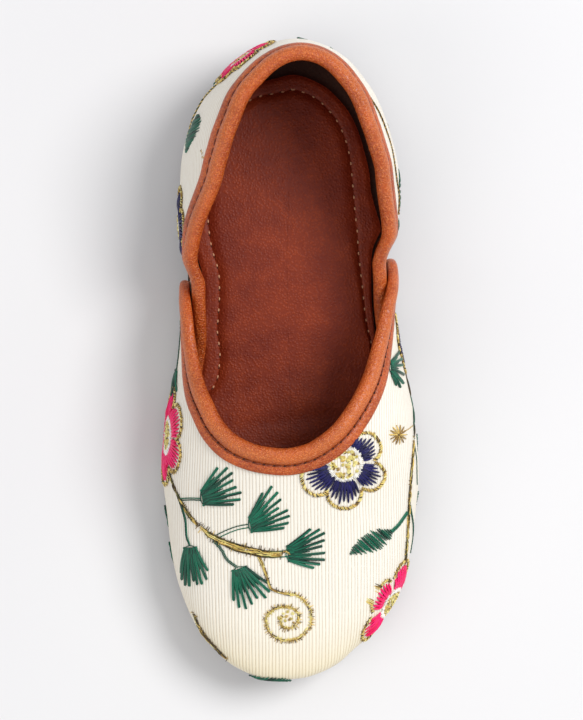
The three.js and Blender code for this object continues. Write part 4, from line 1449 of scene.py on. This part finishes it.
# %% Stem of the vamp
STEM = [
    (313, 472), (318, 487), (322, 497), (328, 508), (335, 519), (343, 528), (352, 536), (362, 541.5),
    (372, 546), (385, 550.5), (400, 554), (415, 556.5), (427, 556),
]
slim, full = STEM[:6], STEM[5:]
VAMP = (on_vamp, shown_on_vamp)
bands = [("umber", 0.1, 1.0, 48), ("olive", 0.2, 1.0, 22), ("gold", 0.0, 0.8, 34), ("yellow", 0.0, 0.5, 12)]
strands(bands, *VAMP, slim, half=[0.35, 0.5, 0.55], px=PX, long=3.0)
bands = [
    ("umber", 0.55, 1.0, 60), ("umber", 0.0, 0.6, 20), ("olive", 0.4, 0.95, 40), ("gold", 0.0, 0.8, 90),
    ("yellow", 0.0, 0.6, 60),
]
strands(bands, *VAMP, full, half=[0.5, 0.85, 1.05, 1.1, 0.9], px=PX, long=3.6)
ticks("umber", *VAMP, slim, every=0.6, reach=1.0, px=PX)
ticks("umber", *VAMP, full, every=0.7, reach=1.7, px=PX)
ticks("gold", *VAMP, full, every=1.1, reach=1.5, px=PX)
print("stem", len(STEM), "points")

# %% Fans of the stem: mm between the two lines of the stalk, stalk, base, tips
FANS = [
    (
        0.5, [(325, 501.5), (336, 501), (345.5, 501.5)], [(345.5, 492.5), (348, 507)],
        [(362.3, 469.6), (372, 469.6), (377, 474.5), (377.6, 482), (381, 489), (386, 494.5),
         (385, 501.6), (378.5, 506.8)],
    ),
    (
        0.9, [(361.8, 538.5), (375, 532.5), (384, 529.5), (392.5, 528)], [(393.5, 519), (396, 534)],
        [(407.3, 494.6), (416.5, 488), (422.4, 494), (425.7, 501), (423.5, 509.7), (432.7, 511.9),
         (434.3, 517.8), (433.3, 524.9), (429, 530)],
    ),
    (
        1.6, [(424, 556.5), (432, 555.5)], [(431.7, 548.3), (433.4, 563.2)],
        [(455.3, 531), (464.5, 531.2), (469.3, 535), (469.3, 542.3), (466.8, 548.3), (469.8, 555.2),
         (469.6, 562), (464.8, 566.5), (458.7, 570.3)],
    ),
    (
        0.4, [(322.5, 499), (327, 512), (330, 524), (331, 538), (334, 547)], [(328.7, 550), (340.5, 549.5)],
        [(325.5, 575), (326.3, 582), (330, 587.6), (334, 588.3), (338.5, 583.5), (342, 587),
         (346.6, 586.6), (351.5, 582), (352.4, 573)],
    ),
    (
        0.45, [(358, 543), (366, 552), (371, 561), (381, 569)], [(377, 573), (390.5, 568.5)],
        [(378, 603), (383.9, 610), (390.6, 611.3), (396.6, 606.9), (402, 601), (410.5, 600.6),
         (414.4, 594.4), (412.4, 585.4)],
    ),
]
for apart, path, base, tips in FANS:
    stalk(*VAMP, path, px=PX, apart=apart)
    fan_motif(*VAMP, base, tips, px=PX)
print("fans", len(FANS))

# %% Tendril
TENDRIL = [
    (402, 556), (407, 567), (411, 578), (415, 590), (421, 593.5), (430, 596), (440, 597.5), (449, 604),
    (455, 614), (455.5, 625), (450, 634), (442, 640.5), (430, 642.5), (419, 639), (412, 630),
    (410.5, 622), (414.5, 615), (422, 610.5), (431, 609.5), (439, 612), (443.5, 618), (442, 625),
    (437, 629.5), (430, 630.5), (426, 627), (425, 622.5), (428, 619),
]
tail, spiral = TENDRIL[:7], TENDRIL[5:]
bands = [("umber", 0.5, 1.0, 22), ("gold", 0.0, 1.0, 40), ("yellow", 0.0, 0.8, 30)]
strands(bands, *VAMP, tail, half=[0.5, 0.32, 0.3], px=PX, long=3.0, thick=0.085)
bands = [("umber", 0.4, 1.0, 40), ("gold", 0.0, 1.0, 110), ("yellow", 0.0, 0.9, 110)]
strands(bands, *VAMP, spiral, half=[0.3, 0.42, 0.38, 0.4, 0.3], px=PX, long=2.0, thick=0.085)
ticks("gold", *VAMP, spiral, every=0.55, reach=1.05, px=PX, side=1, thick=0.1)
ticks("yellow", *VAMP, spiral, every=1.1, reach=0.7, px=PX, side=-1, thick=0.11)
ticks("umber", *VAMP, TENDRIL[4:], every=1.5, reach=1.05, px=PX, side=1, thick=0.09)
ticks("umber", *VAMP, TENDRIL[:5], every=1.3, reach=0.7, px=PX)
swirl = [(424, 620), (430, 623), (436, 621), (437, 616), (432, 614), (428, 616)]
knots("yellow", *VAMP, swirl, size=0.44, thick=0.1)
knots("gold", *VAMP, [(431, 619), (434, 622), (438, 625)], size=0.4, thick=0.1)
print("tendril", len(TENDRIL), "points")

# %% Leaf and flower of the vamp: direction, half angle and tip of each petal
leaf_motif(*VAMP, (494.5, 556.5), (537.5, 533), half=9.4, px=PX, slant=0.3, fill=0.5)
stalk(*VAMP, [(537, 534), (543, 528), (549, 519.5), (552, 515)], px=PX, apart=0.6, thick=0.26)
petals = [(-38, 29, 36), (26, 27, 37.5), (92, 31, 40), (152, 28, 42.5), (205, 30, 42), (265, 30, 40)]
flower_motif(*VAMP, (490, 466), petals, inner=18.5, disc=15, colour="navy", px=PX)
print("petals", len(petals))

# %% Vine, star and small fan on the outer side
VINE = [
    (551, 366), (553, 378), (556, 395), (558, 420), (558.5, 440), (557.5, 460), (556, 480),
    (554.5, 500), (553.5, 517), (552.5, 535), (551.5, 550), (550, 566),
]
high_vine, low_vine = VINE[:5], VINE[4:]
bands = [("umber", 0.1, 1.0, 80), ("olive", 0.1, 1.0, 40), ("gold", 0.0, 1.0, 90), ("yellow", 0.0, 0.7, 24)]
strands(bands, *VAMP, low_vine, half=[0.5, 0.6, 0.5], px=PX, long=2.6)
strands(
    [("green", 0.0, 1.0, 12), ("umber", 0.0, 1.0, 12)], *VAMP, high_vine, half=[0.25, 0.35], px=PX,
    long=4.5, thick=0.12,
)
ticks("gold", *VAMP, low_vine, every=0.9, reach=0.9, px=PX)
ticks("umber", *VAMP, low_vine, every=1.1, reach=0.9, px=PX)
ticks("green", *VAMP, high_vine, every=1.6, reach=0.5, px=PX)
stalk(*VAMP, [(559, 446), (561.5, 464), (562, 487)], px=PX, apart=0.16, thick=0.1)
stalk(*VAMP, [(555, 508), (558, 530), (556.5, 556)], px=PX, apart=0.35)
star, star_half = (543, 437), (8.5, 10)
turns = np.linspace(0, 2 * np.pi, 15)
spikes = [(star[0] + star_half[0] * math.cos(a), star[1] + star_half[1] * math.sin(a)) for a in turns]
satin("gold", *VAMP, [star] * 15, spikes, thick=0.2, arch=0.3, base=0.14)
satin("umber", *VAMP, [star] * 7, spikes[::2][:7], thick=0.1, arch=0.2, base=0.3)
cord(
    ["gold"], *VAMP, [(547, 434), (552, 432), (557, 428)], pitch=1.4, thick=0.12, spread_by=0.08,
    base=0.16, px=PX,
)
tips = [(544, 353), (548, 360), (547, 367), (548, 377), (547.5, 386), (544.5, 390), (540.5, 388)]
fan_motif(*VAMP, [(535, 363), (536, 378)], tips, px=PX)
print({colour: len(lot[0]) for colour, lot in work.items()})

# %% [markdown]
# ## The sides of the vamp
# The camera sees these only edge on, so pixels would be too coarse. They are drawn on patches of
# the wall, in millimetres: across is along the shoe, up is up the wall. What the camera can't see
# follows the same pattern.

# %% Patches of the vamp's wall
WALL_SCALE = 0.99


def place_at(row_px, side):
    return float(side * stretch(to_along((ORIGIN_PX[1] - row_px) * PIXEL * WALL_SCALE)))


def vamp_wall(row_px, side, z):
    return patch(place_at(row_px, side), z), shown_on_vamp


def petals_at(turns, half, tip):
    return [(turn, half, tip) for turn in turns]


# %% Side motifs
inner_wall = vamp_wall(438, -1, z=15)
petals = petals_at((175, 116, 56, -4, -64, -124), half=29, tip=11.4)
flower_motif(*inner_wall, (0, 0), petals, inner=5.2, disc=3.8, colour="pink", rays=10)
outer_toe = vamp_wall(609, 1, z=13.5)
flower_motif(
    *outer_toe, (0, 0), petals_at((14, 88, 164, 236, 300), half=30, tip=11), inner=4.8, disc=3.6,
    colour="pink", rays=9,
)
toe_edge = (patch(-0.02, 14), shown_on_vamp)
leaf_motif(*toe_edge, (-5.6, 1.0), (5.4, 0.4), half=2.2, slant=0.7, fill=0.8)
inner_toe = vamp_wall(644, -1, z=15)
TOE_STEM = [(-7.5, 0.8), (-3, -0.3), (2, 0), (7.5, 0.9)]
bands = [("umber", 0.2, 1.0, 50), ("olive", 0.2, 0.9, 14), ("gold", 0.0, 0.9, 40), ("yellow", 0.0, 0.6, 14)]
strands(bands, *inner_toe, TOE_STEM, half=[0.4, 0.8, 0.8, 0.35], long=3.0)
ticks("umber", *inner_toe, TOE_STEM, every=0.7, reach=1.2)
ticks("gold", *inner_toe, TOE_STEM, every=0.9, reach=1.2)
inner_low = vamp_wall(560, -1, z=5.6)
stalk(*inner_low, [(15, 2), (8, 0.4), (0, -0.8), (-8, 0), (-15, 1.6)], apart=0.4)
leaf_motif(*inner_low, (-3.5, 2.6), (3, 0), half=1.3)
leaf_motif(*inner_low, (-13, 3), (-7, 0.2), half=1.3)
outer_low = vamp_wall(480, 1, z=5.6)
strands(bands, *outer_low, [(-18, 1), (-9, -0.8), (0, 0), (9, 1.2), (18, 0)], half=[0.4, 0.6, 0.4])
leaf_motif(*outer_low, (-4, 3), (-10, 0), half=1.4)
leaf_motif(*outer_low, (11, 3.2), (5, 1), half=1.4)
outer_wing = vamp_wall(345, 1, z=10.5)
flower_motif(
    *outer_wing, (0, 0), petals_at((90, 30, -35, -100, 155, 215), half=31, tip=7), inner=3.4, disc=2.4,
    colour="navy", rays=8,
)
inner_wing = vamp_wall(345, -1, z=15)
stalk(*inner_wing, [(-16, 0), (-8, -1.5), (0, -0.5), (7, 0)], apart=0.45)
tips = [(13, -5), (14.5, -3), (15, -0.8), (15, 1.2), (14.2, 3.4), (12.4, 5.2)]
fan_motif(*inner_wing, [(7, -2), (7.4, 1.6)], tips)
leaf_motif(*inner_wing, (-3, 5), (-8, -1), half=2.0)
print({colour: len(lot[0]) for colour, lot in work.items()})

# %% [markdown]
# ## Round the heel
# The band carries the same hand: a navy flower on the inner side, a satin leaf and two stems that
# climb towards a pink flower at the back, and a dashed gold stem on the outer side. The same
# functions stitch it, on the quarter's own cloth instead of the vamp's.

# %% Quarter motifs seen from above
QUARTER = (on_quarter, shown_on_quarter)
leaf_motif(*QUARTER, (331.5, 155), (343, 117), half=4.6, px=PX, slant=1.3, fill=0.34)
inner_stem = [(333, 140), (338, 118), (346, 104), (356, 92), (364, 84)]
cord(["olive", "gold"], *QUARTER, inner_stem, pitch=1.6, thick=0.15, spread_by=0.16, base=0.2, px=PX)
cord(
    ["green"], *QUARTER, [(358, 86.5), (366, 78), (376, 70), (387, 63)], pitch=1.6, thick=0.18,
    spread_by=0.05, base=0.18, px=PX,
)
cord(
    ["gold", "umber"], *QUARTER, [(364, 84), (374, 76), (386, 68.5)], pitch=1.4, thick=0.14,
    spread_by=0.14, base=0.2, px=PX,
)
ticks("umber", *QUARTER, [(338, 118), (346, 104), (356, 92), (374, 76)], every=0.9, reach=0.55, px=PX)
ticks("gold", *QUARTER, [(346, 152), (348, 160)], every=0.5, reach=0.5, px=PX)
outer_dashes = [(513, 97), (523, 113), (530, 130), (537, 154), (541, 180), (543.5, 200), (543, 216)]
cord(["gold", "umber"], *QUARTER, outer_dashes, pitch=1.5, thick=0.14, spread_by=0.14, base=0.2, px=PX)
ticks("gold", *QUARTER, outer_dashes, every=0.9, reach=0.6, px=PX)
ticks("olive", *QUARTER, outer_dashes, every=1.7, reach=0.6, px=PX)
print("colours so far", sorted(work))


# %% Quarter motifs on patches of its wall
def quarter_wall(place, z):
    return patch(place, z, quarter=True), shown_on_quarter


SIX_TURNS = (90, 28, -35, -100, 152, 212)
inner_back = quarter_wall(place_at(228, -1), z=16)
flower_motif(
    *inner_back, (0, -0.5), petals_at(SIX_TURNS, half=31, tip=9.5), inner=4.3, disc=3.2, colour="navy",
    rays=9,
)
heel_back = quarter_wall(-0.885, z=27)
flower_motif(
    *heel_back, (0, 0), petals_at(SIX_TURNS, half=31, tip=8.4), inner=3.8, disc=2.8, colour="pink",
    rays=9,
)
outer_back = quarter_wall(place_at(190, 1), z=13.5)
cord(
    ["olive", "gold"], *outer_back, [(-16, -4), (-8, -1), (0, -3), (9, -1), (18, 3)], pitch=1.8,
    thick=0.16, spread_by=0.18, base=0.2,
)
tips = [(-5, 5), (-3, 6.2), (-1, 6.8), (1.2, 6.8), (3.2, 6), (5, 4.6)]
fan_motif(*outer_back, [(-1.6, -1.2), (2.0, -1.5)], tips)
leaf_motif(*outer_back, (14, -6), (7, -1.5), half=2.2)
leaf_motif(*outer_back, (-13, 4.5), (-8, -1), half=2.0)
heel_outer = quarter_wall(0.9, z=14)
stalk(*heel_outer, [(-12, -6), (-5, -3), (2, -4), (9, -1)], apart=0.45)
leaf_motif(*heel_outer, (3, 4), (-2, -3), half=2.3)
leaf_motif(*heel_outer, (13, 4), (8.5, -1), half=2.0)
print({colour: len(lot[0]) for colour, lot in work.items()})

# %% [markdown]
# ## Thread finishes
# Floss has a soft sheen, and the gold yarn is a thin metal film spun with dark fibres. One colour
# for each would look like wire, so a thread's own `shade` and a fibre noise move it between a
# dark and a light tone. Pieces by colour then need one finish each.

# %% Thread finishes
def thread_finish(name, dark, light, roughness=0.42, metal=0.0):
    material, tree, shader = finish(name)
    shade = add(tree, "ShaderNodeAttribute", attribute_name="shade").outputs["Fac"]
    fibre = noise(tree, in_mm(tree), 3.2, detail=3.0, rough=0.7)
    tone = math_of(tree, "ADD", math_of(tree, "MULTIPLY", shade, 0.6), math_of(tree, "MULTIPLY", fibre, 0.6))
    colour = mixed(tree, ranged(tree, tone, 0.2, 0.95), dark, light)
    tree.links.new(colour, shader.inputs["Base Color"])
    tree.links.new(bump(tree, fibre, 0.05), shader.inputs["Normal"])
    shader.inputs["Roughness"].default_value = roughness
    shader.inputs["Metallic"].default_value = metal
    shader.inputs["Sheen Weight"].default_value = 0.05
    shader.inputs["Specular IOR Level"].default_value = 0.38
    return material


THREADS = {
    "green": thread_finish("green_floss", srgb(0, 38, 30), srgb(0, 108, 80)),
    "navy": thread_finish("navy_floss", srgb(8, 7, 40), srgb(26, 22, 96)),
    "pink": thread_finish("pink_floss", srgb(224, 0, 78), srgb(255, 14, 122)),
    "white": thread_finish("white_floss", srgb(228, 226, 218), srgb(252, 250, 245)),
    "yellow": thread_finish("yellow_floss", srgb(206, 186, 96), srgb(246, 236, 162)),
    "gold": thread_finish("gold_yarn", srgb(128, 90, 30), srgb(240, 208, 118), roughness=0.36, metal=0.2),
    "umber": thread_finish("umber_yarn", srgb(30, 22, 8), srgb(88, 66, 24), roughness=0.45),
    "olive": thread_finish("olive_yarn", srgb(28, 48, 18), srgb(92, 98, 40), roughness=0.45),
}
print("thread finishes", len(THREADS))

# %% Grow the thread
total = 0
for colour, (lines, thicks, shades) in work.items():
    mesh = line_mesh(colour + "_lines", lines, thicks, shades)
    made = grown(colour + "_thread", mesh, THREAD, Width=1.0, Sides=5, Finish=THREADS[colour])
    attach(made, "root")
    made.data.calc_loop_triangles()
    total += len(made.data.loop_triangles)
    print(colour, len(lines), "lines", len(made.data.loop_triangles), "triangles")
print("thread triangles", total)

# %% [markdown]
# ## Sewn seams
# The strips and the insole are sewn down with a run of short stitches. They could be copied by
# hand along the edge, but a second tree does it evenly: it spaces points along a line, stands a
# short bent thread on each, turned along the line and away from the surface, and makes it one
# mesh. Pitch, stitch length and thread radius are inputs.

# %% Seam tree
def seam_tree():
    inputs = [
        ("Pitch", "NodeSocketFloat", 3.4), ("Stitch", "NodeSocketFloat", 2.6),
        ("Radius", "NodeSocketFloat", 0.2), ("Rise", "NodeSocketFloat", 0.25),
        ("Finish", "NodeSocketMaterial", None),
    ]
    tree, given, out = geometry_tree("seam", inputs)
    line = add(tree, "GeometryNodeMeshToCurve", {"Mesh": given["Geometry"]}).outputs[0]
    pitch = math_of(tree, "MULTIPLY", given["Pitch"], MM)
    spacing = {"Curve": line, "Length": pitch}
    spaced = add(tree, "GeometryNodeResampleCurve", spacing, mode="LENGTH").outputs[0]
    half = math_of(tree, "MULTIPLY", given["Stitch"], 0.5 * MM)
    rise = math_of(tree, "MULTIPLY", given["Rise"], MM)
    low = math_of(tree, "MULTIPLY", rise, -1.0)
    start = add(tree, "ShaderNodeCombineXYZ", {0: math_of(tree, "MULTIPLY", half, -1.0), 2: low}).outputs[0]
    middle = add(tree, "ShaderNodeCombineXYZ", {2: math_of(tree, "MULTIPLY", rise, 1.6)}).outputs[0]
    end = add(tree, "ShaderNodeCombineXYZ", {0: half, 2: low}).outputs[0]
    bend = {"Resolution": 6, "Start": start, "Middle": middle, "End": end}
    bent = add(tree, "GeometryNodeCurveQuadraticBezier", bend).outputs[0]
    radius = math_of(tree, "MULTIPLY", given["Radius"], MM)
    ring = add(tree, "GeometryNodeCurvePrimitiveCircle", {"Resolution": 6, "Radius": radius}).outputs[0]
    tube = {"Curve": bent, "Profile Curve": ring, "Fill Caps": True}
    stitch = add(tree, "GeometryNodeCurveToMesh", tube).outputs[0]
    up = add(tree, "GeometryNodeInputNamedAttribute", {"Name": "up"}, data_type="FLOAT_VECTOR").outputs[0]
    ahead = add(tree, "GeometryNodeInputTangent").outputs[0]
    turned = add(tree, "FunctionNodeAlignRotationToVector", {"Vector": ahead}, axis="X").outputs[0]
    upright = {"Rotation": turned, "Vector": up}
    turned = add(tree, "FunctionNodeAlignRotationToVector", upright, axis="Z", pivot_axis="X").outputs[0]
    place = {"Points": spaced, "Instance": stitch, "Rotation": turned}
    stood = add(tree, "GeometryNodeInstanceOnPoints", place).outputs[0]
    solid = add(tree, "GeometryNodeRealizeInstances", {0: stood}).outputs[0]
    smooth = add(tree, "GeometryNodeSetShadeSmooth", {0: solid}).outputs[0]
    done = add(tree, "GeometryNodeSetMaterial", {"Geometry": smooth, "Material": given["Finish"]}).outputs[0]
    tree.links.new(done, out.inputs[0])
    return tree


SEAM = seam_tree()


def sewn_seam(name, line, up, material, slot, **inputs):
    mesh = bpy.data.meshes.new(name + "_path")
    edges = [(i, i + 1) for i in range(len(line) - 1)]
    mesh.from_pydata((line * MM).tolist(), edges, [])
    away = up.astype(np.float32).ravel()
    mesh.attributes.new("up", "FLOAT_VECTOR", "POINT").data.foreach_set("vector", away)
    made = grown(name, mesh, SEAM, Finish=material, **inputs)
    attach(made, "root")
    print(name, len(made.data.polygons), "faces")


strip_thread = thread_finish("tan_thread", srgb(112, 40, 14), srgb(214, 128, 78), roughness=0.45)
pale_thread = thread_finish("pale_thread", srgb(196, 140, 104), srgb(240, 206, 178), roughness=0.5)
# The needle holes are short dark pieces at the stitch ends: painted shade for the shade inside each hole.
hole_shade_finish = thread_finish("needle_hole_shade", srgb(62, 22, 10), srgb(88, 36, 20), roughness=0.8)


groove_down, groove_up = 3.12, 0.6
strip_sewn = {"Pitch": 2.6, "Stitch": 1.9, "Radius": 0.2, "Rise": 0.2}
strip_hole_shade = {"Pitch": 2.6, "Stitch": 0.5, "Radius": 0.22, "Rise": 0.03}
insole_sewn = {"Pitch": 2.9, "Stitch": 0.55, "Radius": 0.24, "Rise": 0.14}
insole_hole_shade = {"Pitch": 2.9, "Stitch": 0.9, "Radius": 0.11, "Rise": 0.0}


def groove_line(edge, normal, down, inset_at):
    flat = 0 * edge[:, 0]
    line = strip_place(edge, normal, down, inset_at, groove_down + flat, groove_up + flat)
    return line, unit(steepest(line))


line, up = groove_line(vamp_line, vamp_out, vamp_down, lambda p: 0 * p[..., 0])
sewn_seam("vamp_strip_seam", line[4:-4], up[4:-4], strip_thread, "binding", **strip_sewn)
sewn_seam("vamp_strip_hole_shade", line[6:-2], up[6:-2], hole_shade_finish, "binding", **strip_hole_shade)
line, up = groove_line(quarter_line, quarter_out, quarter_down, overlap_at)
sewn_seam("quarter_strip_seam", line[12:-12], up[12:-12], strip_thread, "binding", **strip_sewn)

# %% Insole seam
places = np.linspace(-1, 1, 500)
x, y = drawn_in(places, inset_of_insole(places) + seam_from_edge(places))
z = insole_top(x, y, seam_inset + 0 * x) + 0.12
line = np.stack([x, y, z], -1)
up = np.tile([0.0, 0.0, 1.0], (len(line), 1))
sewn_seam("insole_seam", line, up, pale_thread, "insole", **insole_sewn)
sewn_seam("insole_seam_hole_shade", line[3:], up[3:], hole_shade_finish, "insole", **insole_hole_shade)

# %% [markdown]
# ## Tread
# A moulded sole has low ribs that grip. They could be cut into the outsole's mesh, but a boolean
# leaves long thin faces. They stand in its two shallow fields instead: zigzag lines across the
# foot, grown by the thread tree with four sides, and no lower than the sole itself.

# %% Tread
tread_pitch, tread_radius, tread_edge = 2.6, 0.42, 7.2


def tread_lines(front, back):
    lines = []
    for y in np.arange(to_y(front), to_y(back), tread_pitch):
        left, right = [side * half_at(stretch(to_along(y))) * width / 2 for side in (-1, 1)]
        middle = middle_at(stretch(to_along(y))) * width / 2
        x = np.linspace(middle + left + tread_edge, middle + right - tread_edge, 41)
        wave = y + 0.7 * np.abs((x / 4) % 2 - 1)
        lines.append(np.stack([x, wave, sole_bottom(wave) + tread_radius], -1))
    return lines


lines = tread_lines(0.09, 0.66) + tread_lines(0.75, 0.93)
thicks = [np.full(len(line), tread_radius) for line in lines]
mesh = line_mesh("tread_lines", lines, thicks, np.full(len(lines), 0.5))
tread = grown("sole_tread", mesh, THREAD, Width=1.0, Sides=4, Finish=sole_finish)
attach(tread, "root")
print("tread", len(lines), "ribs")

# %% [markdown]
# ## Floor
# The shoe stands on a pale sheet. A white world alone would leave it floating, and the sheet takes
# its soft shadow. It is only a stage, so it is left out of the export.

# %% Floor
floor_material, tree, shader = finish("pale_floor")
place = in_mm(tree)
cloudy = ranged(tree, noise(tree, place, 0.004, detail=2.0), 0.3, 0.7)
tint = mixed(tree, cloudy, srgb(221, 221, 224), srgb(226, 226, 228))
tree.links.new(tint, shader.inputs["Base Color"])
shader.inputs["Roughness"].default_value = 0.7
floor_mesh = bpy.data.meshes.new("floor")
floor_mesh.from_pydata([(-3, -3, 0), (3, -3, 0), (3, 3, 0), (-3, 3, 0)], [], [(0, 1, 2, 3)])
floor_mesh.materials.append(floor_material)
floor = bpy.data.objects.new("floor", floor_mesh)
scene.collection.objects.link(floor)

# %% Update the view layer
bpy.context.view_layer.update()
